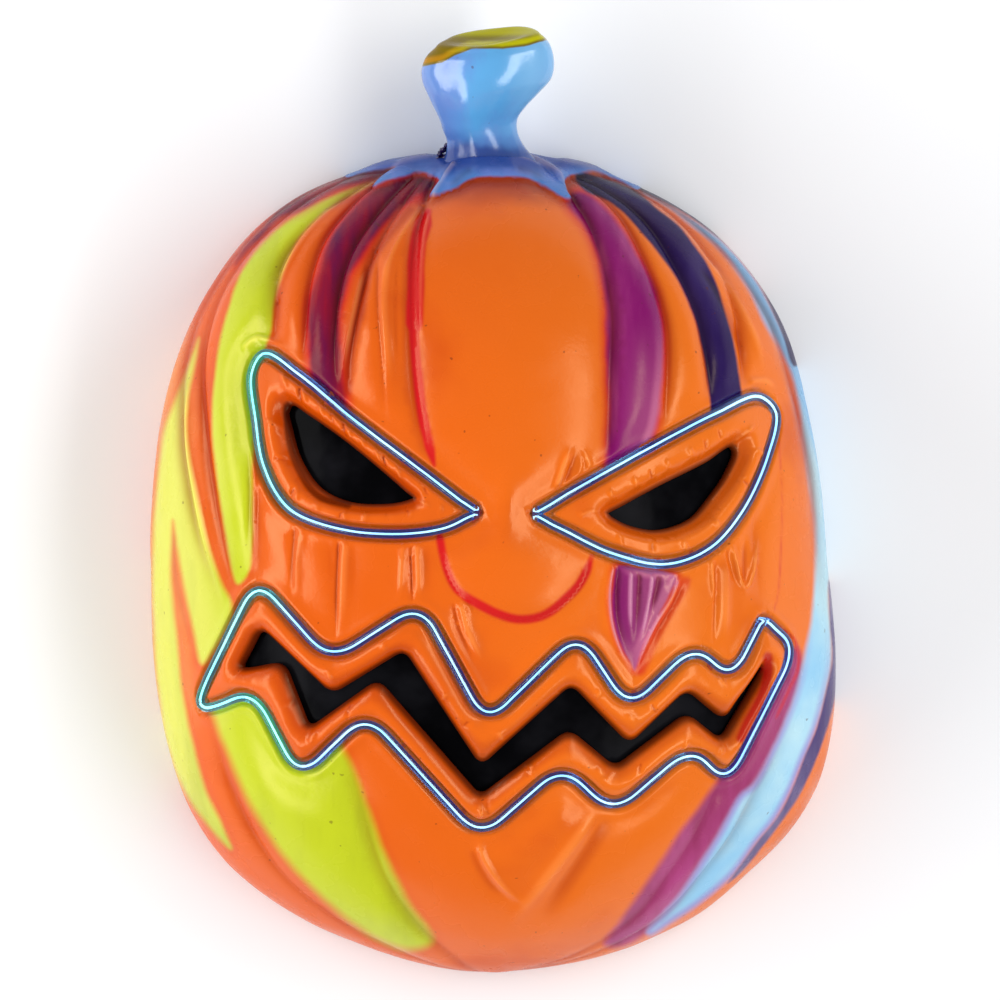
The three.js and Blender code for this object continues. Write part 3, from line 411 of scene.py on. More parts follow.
def dome(points):
    """Points of the plain dome over plan points, and the outward direction there."""
    share = np.minimum(plan_share(points), 1)
    rise = np.sqrt(np.maximum(1 - share**SIDE_FULLNESS, 0))
    # The plan's share is measured to both sides of each point, as it has no simple slope
    step = 0.5
    slopes = [
        (plan_share(points + shift) - plan_share(points - shift)) / (2 * step)
        for shift in (np.array([step, 0]), np.array([0, step]))
    ]
    lean = SIDE_FULLNESS * share ** (SIDE_FULLNESS - 1)
    normal = np.column_stack([lean * slopes[0], lean * slopes[1], 2 * rise / DOME_HEIGHT])
    normal /= np.linalg.norm(normal, axis=1, keepdims=True)
    return np.column_stack([points, BAND_HEIGHT + DOME_HEIGHT * rise]), normal


def disc(points):
    """Places in a disc where the dome's arc length is even, so that triangles stay well shaped."""
    climb = np.arcsin(np.minimum(plan_share(points), 1) ** (SIDE_FULLNESS / 2)) / (np.pi / 2)
    angle = np.arctan2(points[:, 1], points[:, 0])
    return np.column_stack([100 * climb * np.cos(angle), 100 * climb * np.sin(angle)])


def plan_of_seen(loop, height):
    """Plan points whose places at a height over the dome are seen at the loop's points."""
    points = loop
    for _ in range(3):
        points = loop - dome(points)[1][:, :2] * height
    return points


plan_collar = closed_curve(COLLAR, len(COLLAR) * 8)


def make_opening(name, wire, hole, band):
    """What the rest of the script asks about an opening; its hole lies at the height where its band ends."""
    wire = even_loop(wire, CHANNEL_SPACING)
    hole = even_loop(plan_of_seen(hole, band[-1][1]), CHANNEL_SPACING)
    surface, normal = dome(wire)
    # Coarser copies are enough to measure from
    wire_3d, hole_3d = (dome(even_loop(loop, MEASURE_SPACING))[0] for loop in (wire, hole))
    return {
        "name": name, "wire": wire, "hole": hole, "band": band, "surface": surface, "normal": normal,
        "wire_3d": wire_3d, "hole_3d": hole_3d,
    }


def make_eye(name, eye):
    return make_opening(name, *(closed_curve(eye[key], EYE_COUNT) for key in ("wire", "hole")), EYE_BAND)


def make_mouth():
    wire = rounded_loop(MOUTH["wire"], WIRE_CORNER, MOUTH_WIRE_TIP)
    hole = rounded_loop(MOUTH["hole"], HOLE_CORNER, MOUTH_HOLE_TIP)
    return make_opening("mouth", wire, hole, MOUTH_BAND)


openings = [make_eye("left_eye", LEFT_EYE), make_eye("right_eye", RIGHT_EYE), make_mouth()]


def signed_to_wire(points, surface, opening):
    """Distances over the skin to a wire's middle, negative inside its loop, and to the edge of its hole."""
    gap, _ = distance_to(surface, opening["wire_3d"])
    gap = np.where(inside(points, opening["wire"]), -gap, gap)
    hole, _ = distance_to(surface, opening["hole_3d"])
    return gap, hole


# Moulded folds: height in millimetres (below 0 for a groove), half width in pixels, and points in pixels
FOLD_GROUPS = {
    "under the left eye": """
        -0.5 2.2 295,522 292,555 291,602; 0.5 4.5 302,524 299,556 297,602; -0.7 1.8 338,534 336,590 335,648;
        0.6 5 346,536 343,590 341,640; 0.6 3 403,540 402,572 400,606; -0.7 1.9 409,538 411,575 412,616; 0.7
        3.5 417,540 419,572 419,606
    """,
    "beside the nose": """
        -0.6 3 452,600 460,634 477,668; 0.9 3.5 460,598 469,632 486,668
    """,
    "the frown between the eyes": """
        1.1 3 556,489 564,466 572,444; -0.6 3 563,489 571,466 578,446; 0.5 2 578,478 581,463 579,454; 0.8
        2.2 591,470 587,459 582,448
    """,
    "beside and under the right eye": """
        1 1.7 745,591 739,580 735,562 731,540; 1 1.7 745,591 750,579 754,558 757,534; -0.5 3.2 745,584
        745,565 746,532; -0.4 2.5 727,546 731,566 738,590; 0.7 1.8 711,556 712,580 714,604; -0.5 2 716,556
        716,595 713,660; 0.7 5.5 724,562 724,600 723,650
    """,
    "the leaf under the right eye": """
        0.9 2.2 615,560 610,580 609,602 612,626 620,650 632,670 640,684; -0.6 2.6 621,562 617,590 618,618
        624,640 633,660; 0.7 2.8 631,564 630,590 630,615 632,645; -0.8 2.6 640,564 639,595 636,635; 0.8 2.4
        653,566 649,598 644,624 637,656; -0.9 2.8 661,568 657,590 650,616; 1 2.2 679,573 671,599 657,620
        648,637 640,657 633,680; -0.5 3 684,584 672,607 660,628 649,652
    """,
    "the chin": """
        0.7 3.5 479,838 483,856 492,872 505,888 519,899 530,905; -0.4 5 470,846 477,864 488,882 502,896
        516,906; 0.7 7 600,806 569,849 536,891 500,938; -0.5 10 612,815 590,849 562,891 530,935
    """,
    "over the outer corners of the eyes": """
        0.9 4 242,352 258,339 276,347 290,360; 0.6 4 748,383 764,381 780,392
    """,
    "long folds along the forehead's ribs": """
        0.7 2.6 426,200 412,221 399,241 390,262 384,290; 0.8 2.6 365,268 358,296 351,330 342,386; -0.5 2.6
        378,250 377,300 380,345 386,432; 0.6 5.2 388,252 384,300 386,335 393,405; -0.35 3 397,258 395,310
        398,385; 0.6 2.6 432,206 426,226 422,262 421,300 423,345
    """,
    "the collar's leaves": """
        0.9 3.2 514,161 530,165 548,173 560,183 570,200 576,212; -0.4 4.5 514,172 535,178 552,190; 0.9 2.6
        457,166 449,177 433,198 424,210; -0.4 4.5 474,172 459,182 445,194; 0.6 3.5 436,163 418,165 396,172
        372,182; 0.6 3.5 556,166 584,172 612,181; 0.6 4.5 703,257 723,282 742,312 758,346 768,392; -0.55 4
        698,262 716,290 732,322 742,352 748,396; 0.8 2.4 189,380 188,440 197,500 211,560 228,612; -0.3 4
        182,392 181,440 190,500 203,560 218,606; -0.35 4 173,520 174,570 182,615 198,672; 0.7 2.2 257,430
        256,470 255,520 256,578; -0.35 3 250,430 249,470 248,520 248,570; 0.8 2.4 345,199 322,218 299,246
        279,290 276,338
    """,
}
FOLDS = [fold for text in FOLD_GROUPS.values() for fold in strokes(text, 2)]
# Short creases across the bands around the openings, written as the folds are
WRINKLES = strokes("""
    -0.8 1.8 301,387 303,406; 0.6 2 306,390 309,408; -0.9 1.8 344,420 347,440; 0.6 2 350,425 353,442; -0.8
    1.8 384,454 387,471; 0.6 2 378,450 382,466; -0.6 1.8 296,488 292,500; 0.5 2 301,492 298,503; -0.6 1.6
    341,512 343,523; 0.5 1.8 346,512 347,523; -0.5 1.6 408,509 409,519; 0.5 1.8 413,509 413,519; 0.5 1.8
    441,505 443,515; 0.6 1.8 415,498 424,503 434,507; 0.6 2 608,490 611,499; 0.6 2.4 578,516 590,511
    602,512; 0.5 2.4 618,536 620,549; 0.5 1.8 664,460 667,470; -0.5 1.6 716,430 719,441; 0.8 2.6 738,441
    751,424; 0.6 3 681,541 685,554; 0.9 2.2 480,800 483,817; -0.5 2.2 487,800 489,815; 0.8 2 530,762
    534,777; -0.5 2 525,763 529,778; 0.7 4.5 597,764 604,774; 0.6 4 498,727 505,742; 0.5 4 626,712 634,720;
    0.4 3 296,578 303,590; 0.6 2.4 284,372 290,392; 0.5 2.6 322,404 327,424; -0.5 2 332,410 336,430; 0.5 2.6
    362,434 367,452; 0.6 2.4 398,468 404,484; -0.5 2 424,486 430,498; 0.5 3 270,420 282,430; -0.4 3 276,458
    290,462; 0.5 2.4 320,503 318,514; 0.5 2.6 366,512 368,524; -0.5 2 388,512 389,523; 0.6 2.4 632,478
    636,490; -0.5 2 648,470 652,482; 0.5 2.6 686,448 690,460; -0.5 2 702,440 705,452; 0.5 3 752,450 762,456;
    -0.5 2.6 740,480 750,488; 0.6 2.6 712,520 718,530; -0.5 2.2 650,542 651,554; 0.5 3 238,662 250,668; -0.5
    2.6 262,628 270,640; 0.6 2.6 330,668 336,680; 0.6 3 296,700 286,706; 0.6 2.6 318,728 312,742; -0.5 2.4
    352,702 348,716; 0.5 2.6 384,640 388,652; 0.6 3 448,690 440,700; -0.5 2.4 470,716 462,726; 0.6 3 432,732
    424,742; 0.5 2.6 556,690 562,702; 0.6 2.6 600,686 594,698; -0.5 2.4 648,702 656,712; 0.6 2.6 560,766
    562,778; -0.5 2.4 640,760 636,772; 0.6 2.6 684,738 682,752; 0.5 2.6 722,742 716,752; 0.6 3 716,676
    724,688
""", 2)
def profile(knots, position):
    at, height = np.array(knots).T
    return np.interp(position, at, height)


def make_ripples(count=40, seed=7):
    """Directions, phases and strengths of the waves that make up the skin's slight unevenness."""
    random = np.random.default_rng(seed)
    length = random.uniform(9, 38, count)
    angle = random.uniform(0, 2 * np.pi, count)
    waves = np.column_stack([np.cos(angle), np.sin(angle)]) * (2 * np.pi / length)[:, None]
    return waves, random.uniform(0, 2 * np.pi, count), length / length.sum()


RIPPLES = make_ripples()
RIPPLE_HEIGHT = 0.5


def ripple(points):
    waves, phases, strengths = RIPPLES
    return RIPPLE_HEIGHT * (np.sin(points @ waves.T + phases) @ strengths)


FOLD_GAIN = 1.25
WRINKLE_GAIN = 1.3
WRINKLE_WIDTH = 0.7


def stroke_heights(points, lines, gain, widening=1.0):
    """The summed height of moulded lines, which fade out slowly towards their last points."""
    height = np.zeros(len(points))
    for pixels, top, half_width in lines:
        line = open_curve(plan(pixels))
        width = half_width * PIXEL * widening
        above = points > line.min(axis=0) - 3 * width
        near = np.all(above & (points < line.max(axis=0) + 3 * width), axis=1)
        if near.any():
            gap, along = distance_to(points[near], line, closed=False)
            taper = np.minimum(smoothstep(-0.03, 0.15, along), smoothstep(-0.02, 0.45, 1 - along))
            height[near] += gain * top * np.exp(-((gap / width) ** 2)) * taper
    return height


def face_width(y):
    """The middle of the face and its half width at heights on it."""
    return np.interp(y, width_heights, width_middles), np.interp(y, width_heights, width_halves)


def rib_height(creases, heights, across, half, y):
    """Height of the ribs between creases, and how near each point is to a crease in millimetres."""
    inner = (through_knots(crease, y) for crease in creases)
    edges = np.array([np.full_like(y, -1.1), *inner, np.full_like(y, 1.1)])
    rib = np.clip((edges <= across).sum(axis=0) - 1, 0, len(heights) - 1)
    columns = np.arange(len(y))
    low = edges[rib, columns]
    width = edges[rib + 1, columns] - low
    share = np.clip((across - low) / width, 0, 1)
    share = np.minimum(share, 1 - share)
    limit = np.minimum(np.array(heights)[rib], RIB_STEEPNESS * width * half)
    rounded = (np.hypot(share, CREASE_ROUNDNESS) - CREASE_ROUNDNESS) / (1 - 2 * CREASE_ROUNDNESS)
    return limit * (4 * rounded * (1 - rounded)) ** 0.6, share * width * half


def nose_off(points):
    """How far off the nose's middle a point is, as a share of its radius."""
    across = points[:, 0] - NOSE["x"]
    up = points[:, 1] - NOSE["y"]
    return np.hypot(across, up * np.where(up > 0, NOSE_FLATTENING, 1)) / NOSE["radius"]


def seen_place(points):
    """Plan points of places in space as they are seen from the camera, at the photograph's scale."""
    middle = plan([PHOTO_MIDDLE])[0]
    scale = (CAMERA_HEIGHT - FACE_HEIGHT) / (CAMERA_HEIGHT - points[:, 2] * METRES)
    return middle + (points[:, :2] - middle) * scale[:, None]


def stem_foot(surface):
    """The flare of the skin around the stem's foot."""
    off = np.hypot((surface[:, 0] - FOOT["x"]) / FOOT["across"], (surface[:, 2] - FOOT["z"]) / FOOT["deep"])
    share = np.clip(1 - (off - 1) / FOOT["reach"], 0, 1)
    front = smoothstep(0.4, 0.95, (surface[:, 2] - FOOT["z"]) / FOOT["deep"] / np.maximum(off, 0.1))
    return (FOOT["height"] + FOOT["front"] * front) * share**2 * (surface[:, 1] > 0)


def add_nose(points, ribs):
    """The nose, blended into the ribs, with the groove under it."""
    off = nose_off(points)
    nose = NOSE["height"] * np.maximum(1 - np.minimum(off, 1) ** 3, 0) ** 0.8
    blend = NOSE_BLEND * smoothstep(1.5, 0.9, off)
    body = np.maximum(ribs, nose) + np.maximum(blend - np.abs(ribs - nose), 0) ** 2 / (4 * NOSE_BLEND)
    gap = (off - 1) * NOSE["radius"] - NOSE_GROOVE["outside"]
    groove = NOSE_GROOVE["depth"] * np.exp(-((gap / NOSE_GROOVE["half_width"]) ** 2))
    return body - groove * smoothstep(12, 17, -points[:, 1])


def relief(points, share):
    """Height of the ribs and the nose over the dome, and how strongly a crease's painted shade shows, from 0
    to 1.
    """
    y = points[:, 1]
    middle, half = face_width(y)
    across = np.clip((points[:, 0] - middle) / half, -1, 1)
    upper, upper_crease = rib_height(UPPER_CREASES, UPPER_RIB_HEIGHTS, across, half, y)
    lower, lower_crease = rib_height(LOWER_CREASES, LOWER_RIB_HEIGHTS, across, half, y)
    upper_share = smoothstep(-38, 10, y)
    lower_share = smoothstep(60, 95, -y)
    edge = (1 - 0.75 * smoothstep(0.9, 1, share)) * (1 - smoothstep(94, 100, y))
    ribs = (upper * upper_share + lower * lower_share) * edge
    upper_nearer = upper_share > lower_share
    crease = np.where(upper_nearer, upper_crease, lower_crease)
    strength = np.where(upper_nearer, upper_share, 0.5 * lower_share)
    return add_nose(points, ribs), np.exp(-((crease / CREASE_WIDTH) ** 2)) * strength


def around_openings(points, surface):
    """How the openings shape the skin around them.

    It gives the share that is left of the ribs, the heights of the channels' outer banks and of the bands
    inside the wires, the share of the way from the wire to the hole, and the distance to the nearest wire.
    """
    count = len(points)
    open_share, bank, band, way = np.ones(count), np.zeros(count), np.zeros(count), np.zeros(count)
    nearest = np.full(count, 99.0)
    for opening in openings:
        gap, hole = signed_to_wire(points, surface, opening)
        clear = np.maximum(gap - CHANNEL_MOUTH, 0)
        open_share = np.minimum(open_share, 1 - np.exp(-((clear / BODY_REACH) ** 1.5)))
        within = gap < 0
        bank = np.where(within, bank, bank + profile(OUTER_BANK, gap))
        share = np.clip(-gap / np.maximum(hole - gap, 1e-6), 0, 1)
        lower = np.minimum(profile(INNER_BANK, -gap), profile(opening["band"], share))
        band = np.where(within, lower, band)
        way = np.where(within, share, way)
        nearest = np.where(np.abs(gap) < np.abs(nearest), gap, nearest)
    return open_share, bank, band, way, nearest


def form(points):
    """The skin over plan points, before its collar and its moulded lines."""
    surface, normal = dome(points)
    body, crease = relief(points, plan_share(points))
    open_share, bank, band, way, gap = around_openings(points, surface)
    height = np.where(gap < 0, band, body * open_share + bank + stem_foot(surface))
    return {
        "points": points, "surface": surface, "normal": normal, "height": height, "gap": gap, "band": way,
        "crease": crease * open_share, "seen": seen_place(surface + normal * height[:, None]),
    }


def skin(points):
    """Everything that the shell's outer skin needs to know about its plan points."""
    details = form(points)
    gap, seen = details["gap"], details["seen"]
    on_band = smoothstep(2.4, 3.4, -gap) * smoothstep(1, 0.93, details["band"])
    fold = stroke_heights(seen, FOLDS, FOLD_GAIN) * smoothstep(2.8, 4.6, gap)
    fold = fold + stroke_heights(points, WRINKLES, WRINKLE_GAIN, WRINKLE_WIDTH) * on_band
    collar = depth_in(seen, plan_collar)
    aside = smoothstep(COLLAR_TAPER["from"], COLLAR_TAPER["to"], np.abs(points[:, 0]))
    rounded = np.sqrt(1 - (1 - np.clip((collar + 0.25) / COLLAR_EDGE, 0, 1)) ** 2)
    raise_by = COLLAR_HEIGHT * (1 - COLLAR_TAPER["amount"] * aside) * rounded
    details["height"] = details["height"] + fold + raise_by + ripple(points) * smoothstep(2, 4, np.abs(gap))
    return {**details, "collar": collar, "fold": fold, "crease": details["crease"] * (collar < 0)}


def under_seen(seen):
    """Plan points whose places on the skin are seen at the given ones."""
    points = seen
    for _ in range(3):
        points = points + (seen - form(points)["seen"]) * 0.8
    return points


def raised(details, lift=0.0):
    return details["surface"] + details["normal"] * (details["height"] + lift)[:, None]


class Thinned:
    """Plan points kept apart by the distances they are added with, measured where the skin is laid flat."""

    FLAT_SCALE = 1.3

    def __init__(self):
        self.cells = {}
        self.points = []

    def add(self, points, apart):
        flat = disc(points) * self.FLAT_SCALE
        kept = []
        size = 1.5
        for point, (x, y) in zip(points, flat):
            column, row = int(x // size), int(y // size)
            near = (
                other
                for i in (column - 1, column, column + 1)
                for j in (row - 1, row, row + 1)
                for other in self.cells.get((i, j), ())
            )
            if all((x - a) ** 2 + (y - b) ** 2 >= apart * apart for a, b in near):
                self.cells.setdefault((column, row), []).append((x, y))
                kept.append(len(self.points))
                self.points.append(point)
        return kept


def sideways(opening):
    """The direction across a wire, over the skin and out of its loop."""
    surface = opening["surface"]
    along = np.roll(surface, -1, axis=0) - np.roll(surface, 1, axis=0)
    across = np.cross(along, opening["normal"])
    across /= np.linalg.norm(across, axis=1, keepdims=True)
    return across if turns_left(opening["wire"]) else -across


# Distances in millimetres of the rows of points beside a wire and beside the edge of a hole
WIRE_ROWS = [0, 1.2, 1.75, 2.05, 2.35, 2.6, 2.85, 3.1, 3.4, 3.8, 4.4, 5.2, 6.2]
HOLE_ROWS = [0.3, 0.65, 1.1, 1.7]
# Shares of a moulded line's half width for the rows beside it
STROKE_ROWS = [0, 0.55, 1.1, 1.8]
CREASE_ROWS = [-0.6, 0.6, -1.4, 1.4]
NOSE_ROWS = [1.06, 1.03, 1.0, 0.97, 0.93, 0.88]


def wire_rows(opening):
    """Rows beside a wire, without the points that a bend folds back."""
    across = sideways(opening)
    rows = []
    for row in WIRE_ROWS:
        for side in ((1, -1) if row else (1,)):
            points = (opening["surface"] + across * side * row)[:, :2]
            gap, _ = signed_to_wire(points, dome(points)[0], opening)
            rows.append(points[np.abs(gap - side * row) < 0.12 + 0.02 * row])
    return np.vstack(rows)


def out_of_hole(opening):
    """The direction out of a hole over the plan, at each point of its edge."""
    hole = opening["hole"]
    along = np.roll(hole, -1, axis=0) - np.roll(hole, 1, axis=0)
    out = np.column_stack([along[:, 1], -along[:, 0]])
    out /= np.linalg.norm(out, axis=1, keepdims=True)
    return out if turns_left(hole) else -out


def stroke_rows(lines):
    """Rows along and beside each moulded line."""
    rows = []
    for pixels, _, half_width in lines:
        line = open_curve(plan(pixels), 14)
        along = np.gradient(line, axis=0)
        out = np.column_stack([-along[:, 1], along[:, 0]])
        out /= np.linalg.norm(out, axis=1, keepdims=True)
        for step in STROKE_ROWS:
            rows += [line + out * side * step * half_width * PIXEL for side in ((1, -1) if step else (1,))]
    return np.vstack(rows)


def crease_row(crease, heights, aside=0.0):
    middle, half = face_width(heights)
    return np.column_stack([middle + half * through_knots(crease, heights) + aside, heights])


def dome_rings(spacing, arc=150, mean_radius=118):
    """Rings of points over the whole dome, at about even distances over its skin."""
    count = int(arc / spacing)
    rings = []
    for index in range(count):
        share = np.sin((index + 0.5) / count * np.pi / 2) ** (2 / SIDE_FULLNESS)
        steps = max(6, int(2 * np.pi * share * mean_radius / spacing))
        angle = (np.arange(steps) + (index % 2) / 2) / steps * 2 * np.pi - np.pi
        radius = share * outline_radius(angle)
        rings.append(np.column_stack([radius * np.cos(angle), radius * np.sin(angle)]))
    return np.vstack(rings)


def rim_loop(length=740):
    """Points around the rim, about whose length is given."""
    angle = np.linspace(-np.pi, np.pi, int(length / SPACING), endpoint=False)
    radius = outline_radius(angle)
    return np.column_stack([radius * np.cos(angle), radius * np.sin(angle)])


def loop_edges(loop):
    return list(zip(loop, loop[1:] + loop[:1]))


def delaunay(flat, edges):
    """Triangles between points in a plane, with the given edges among theirs."""
    places = [Vector(place) for place in flat]
    _, _, faces, origins, _, _ = delaunay_2d_cdt(places, edges, [], 0, 1e-7, True)
    first = [origin[0] if origin else -1 for origin in origins]
    return np.array([[first[corner] for corner in face] for face in faces])


def triangulate(points, loops, lines=()):
    """Triangles over plan points, without those inside the loops of holes, with edges along the lines."""
    edges = [edge for loop in loops for edge in loop_edges(loop)]
    triangles = delaunay(disc(points), [*edges, *lines])
    assert triangles.min() >= 0
    middles = points[triangles].mean(axis=1)
    in_holes = np.any([inside(middles, points[loop]) for loop in loops], axis=0)
    return triangles[~in_holes]


def crease_lines(thinned, rows):
    """Points along the creases, clear of the openings, and the edges between them."""
    lines = []
    for crease, heights in rows:
        row = crease_row(crease, heights)
        gap = np.min([distance_to(row, opening["wire"])[0] for opening in openings], axis=0)
        within = np.any([inside(row, opening["wire"]) for opening in openings], axis=0)
        clear = (gap > CREASE_CLEARANCE) & ~within & (plan_share(row) < 0.985)
        kept = thinned.add(row[clear], APART["crease"])
        places = np.array(thinned.points)
        for a, b in zip(kept, kept[1:]):
            if np.linalg.norm(places[a] - places[b]) < LONGEST_EDGE:
                lines.append((a, b))
    return lines


def nose_ring(share, count=150):
    angle = np.linspace(0, 2 * np.pi, count)
    reach = NOSE["radius"] * share
    up = np.sin(angle) * np.where(np.sin(angle) > 0, 1 / NOSE_FLATTENING, 1)
    return np.column_stack([NOSE["x"] + reach * np.cos(angle), NOSE["y"] + reach * up])


def add_detail(thinned):
    """Points where the skin bends, and the lines of the creases as edges."""
    for opening in openings:
        thinned.add(wire_rows(opening), APART["wire"])
        out = out_of_hole(opening)
        thinned.add(np.vstack([opening["hole"] + out * step for step in HOLE_ROWS]), APART["hole"])
    thinned.add(under_seen(stroke_rows(FOLDS)), APART["fold"])
    thinned.add(stroke_rows(WRINKLES), APART["fold"])
    collar = even_loop(plan_collar, 0.5)
    thinned.add(under_seen(collar[plan_share(collar) < 0.99]), APART["collar"])
    rows = [(crease, UPPER_STEPS) for crease in UPPER_CREASES]
    rows += [(crease, LOWER_STEPS) for crease in LOWER_CREASES]
    lines = crease_lines(thinned, rows)
    for crease, heights in rows:
        for aside in CREASE_ROWS:
            thinned.add(crease_row(crease, heights, aside), APART["beside crease"])
    for share in NOSE_ROWS:
        thinned.add(nose_ring(share), APART["nose"])
    return lines


def spread_points(spacing, detailed):
    """The points of the outer skin, or coarser ones for the inner: rim first, then the loops of the holes."""
    thinned = Thinned()
    rim = thinned.add(rim_loop(), 0)
    holes = [thinned.add(opening["hole"], 0) for opening in openings]
    edge_count = len(thinned.points)
    lines = add_detail(thinned) if detailed else []
    thinned.add(dome_rings(spacing), spacing * 0.72)
    points = np.array(thinned.points)
    in_holes = np.any([inside(points, opening["hole"]) for opening in openings], axis=0)
    kept = (plan_share(points) < 0.999) & ~in_holes
    kept[:edge_count] = True
    place = np.cumsum(kept) - 1
    lines = [(int(place[a]), int(place[b])) for a, b in lines if kept[a] and kept[b]]
    return points[kept], rim, holes, lines


# Painted areas as closed outlines in pixels of the photograph
AREAS = {
    "wine_edge": """
        398,173 370,181 331,192 303,209 278,220 262,236 247,251 235,265 243,248 262,227 282,207 312,189
        350,172 380,164
    """,
    "lime_upper": """
        378,180 331,197 289,220 259,247 243,270 232,297 224,324 219,350 214,390 213,438 218,487 224,525
        230,560 238,584 248,573 252,545 252,497 253,439 256,380 266,345 271,331 274,304 280,282 287,262
        299,239 318,217 343,199 376,183
    """,
    "lime_side": """
        199,338 187,370 176,398 165,427 158,477 153,554 154,631 158,690 167,745 184,790 208,825 231,849
        222,824 205,788 193,745 187,719 182,688 178,650 174,611 171,583 171,554 173,520 178,554 185,592
        193,628 202,664 213,650 232,608 221,583 208,545 197,497 189,458 186,425 189,389 195,362
    """,
    "lime_lower": """
        203,690 212,712 220,735 227,750 238,778 249,802 266,830 283,854 305,880 329,903 353,923 379,940
        409,949 432,943 433,938 428,929 411,906 394,875 381,845 368,810 357,780 343,750 330,735 300,745
        270,690 240,682
    """,
    "wine_rib": """
        418,177 385,184 366,195 349,213 333,232 324,251 318,274 311,297 309,322 310,350 312,375 322,398
        345,412 342,370 340,341 339,312 343,293 350,272 362,255 373,238 387,220 402,205 418,195 436,184
    """,
    "purple_rib": """
        568,203 585,226 594,247 602,274 606,303 607,331 608,370 609,408 608,445 608,478 640,462 652,438
        656,427 660,398 664,360 663,331 658,303 650,278 638,255 623,230 606,209 589,195 574,192
    """,
    "navy_rib": """
        574,177 585,191 604,199 623,213 642,234 660,255 675,276 686,297 696,324 702,350 707,379 711,408
        713,425 742,410 742,394 739,370 734,341 726,312 717,285 707,264 694,245 679,226 660,211 640,194
        617,183 594,175 580,172
    """,
    "sky_side": """
        644,193 667,206 682,218 705,236 724,253 738,272 751,293 763,320 777,343 790,370 799,404 803,438
        809,480 815,520 815,566 812,612 804,658 799,681 787,715 771,750 753,784 740,795 718,834 697,868
        676,898 663,913 646,932 650,936 671,923 697,906 723,885 736,872 757,843 776,819 792,789 803,761
        817,727 826,692 832,658 829,596 834,540 832,480 822,425 808,378 784,333 770,306 757,282 742,262
        724,243 705,228 682,213 658,200
    """,
    "navy_edge": """
        636,186 660,200 682,212 705,227 724,242 742,261 757,281 770,305 782,333 794,367 802,360 790,318
        770,278 740,240 700,205 660,186
    """,
    "navy_side": """
        829,580 830,620 832,658 826,692 817,727 803,761 792,789 776,819 757,842 735,873 727,884 735,878
        751,861 778,826 799,796 815,762 831,716 841,670 842,630 833,588
    """,
    "purple_side": """
        797,648 803,664 801,683 790,716 774,752 757,784 743,797 721,836 700,870 678,900 664,915 645,934
        620,947 604,944 618,924 633,902 650,879 665,857 678,836 697,810 712,788 722,774 735,760 770,700
        790,650
    """,
    "leaf": """
        618,566 614,580 612,602 615,626 623,649 630,661 635,671 640,655 646,640 655,622 664,604 671,591
        677,577 660,571 640,568
    """,
}
# Painted lines: half width and points in pixels
RED_LINES = """
    8.5 428,212 419,238 416,262 416,285 415,305 414,335; 5 415,270 414,331 415,350 418,378 422,412 428,440
    434,465; 4 439,532 441,545 446,567 455,587 466,598; 4.6 455,587 466,597 480,605 496,613 516,619 535,618
    550,612 565,599 578,586 587,570 592,556; 0.2 779,440 782,495 781,549 777,600 770,620; 1.2 766,617
    779,627 793,638 798,650 798,668 788,692 776,718
"""
# Painted shade on the slopes of openings and ribs, written as the painted lines are
SHADES = {
    "red_shade": "7.5 768,657 768,672 764,690 757,706 748,722 741,738",
    "brown_shade": "5.5 287,405 289,440 299,470 318,496 348,505",
    "rib_shade": "4 410,210 387,238 369,267 361,310 350,351 347,392",
    "leaf_shade": "5 686,582 674,604 662,625 652,645 641,670",
}
PAINT_REACH = 12.0


def painted(points):
    """How deep each plan point lies in each painted area and line, in millimetres, below 0 outside it."""
    values = {}
    for name, text in AREAS.items():
        outline = plan(pairs(text))
        depth = depth_in(points, closed_curve(outline, len(outline) * 6))
        values[name] = np.clip(depth, -PAINT_REACH, PAINT_REACH)
    red = np.full(len(points), -PAINT_REACH)
    for pixels, half_width in strokes(RED_LINES):
        gap, along = distance_to(points, open_curve(plan(pixels)), closed=False)
        taper = np.minimum(smoothstep(-0.02, 0.1, along), smoothstep(-0.02, 0.1, 1 - along))
        red = np.maximum(red, half_width * PIXEL * (0.35 + 0.65 * taper) - gap)
    values["red_line"] = red
    for name, text in SHADES.items():
        pixels, half_width = strokes(text)[0]
        gap, _ = distance_to(points, open_curve(plan(pixels)), closed=False)
        values[name] = half_width * PIXEL - gap
    return values


# The materials of the shell and those of a wire, by their numbers in the mesh
PAINTED, RAW, STEM = range(3)
JACKET, CORE = range(2)


class Body:
    """The corners, faces, materials and painted values of one mesh, in millimetres."""

    def __init__(self):
        self.points = []
        self.faces = []
        self.kinds = []
        self.values = []
        self.count = 0

    def add(self, points, faces, kind, values=None):
        start = self.count
        self.points.append(points)
        self.values.append((len(points), values or {}))
        self.count += len(points)
        self.link(np.asarray(faces) + start if len(faces) else [], kind)
        return start

    def link(self, faces, kind):
        self.faces.extend(tuple(int(corner) for corner in face) for face in faces)
        self.kinds.extend([kind] * len(faces))

    def build(self, name, materials, rest=-PAINT_REACH):
        mesh = bpy.data.meshes.new(name)
        points = np.vstack(self.points) * METRES
        mesh.from_pydata(points.tolist(), [], self.faces)
        mesh.polygons.foreach_set("material_index", self.kinds)
        mesh.shade_smooth()
        for key in sorted({key for _, values in self.values for key in values}):
            column = np.concatenate([
                np.asarray(values.get(key, np.full(count, rest)), float) for count, values in self.values
            ])
            mesh.attributes.new(key, "FLOAT", "POINT").data.foreach_set("value", column)
        for material in materials:
            mesh.materials.append(material)
        mesh.update()
        piece = bpy.data.objects.new(name, mesh)
        bpy.context.scene.collection.objects.link(piece)
        return piece


def bridge(lower, upper):
    """Four-sided faces between two closed rows of corner numbers."""
    return np.column_stack([lower, upper, np.roll(upper, -1), np.roll(lower, -1)])


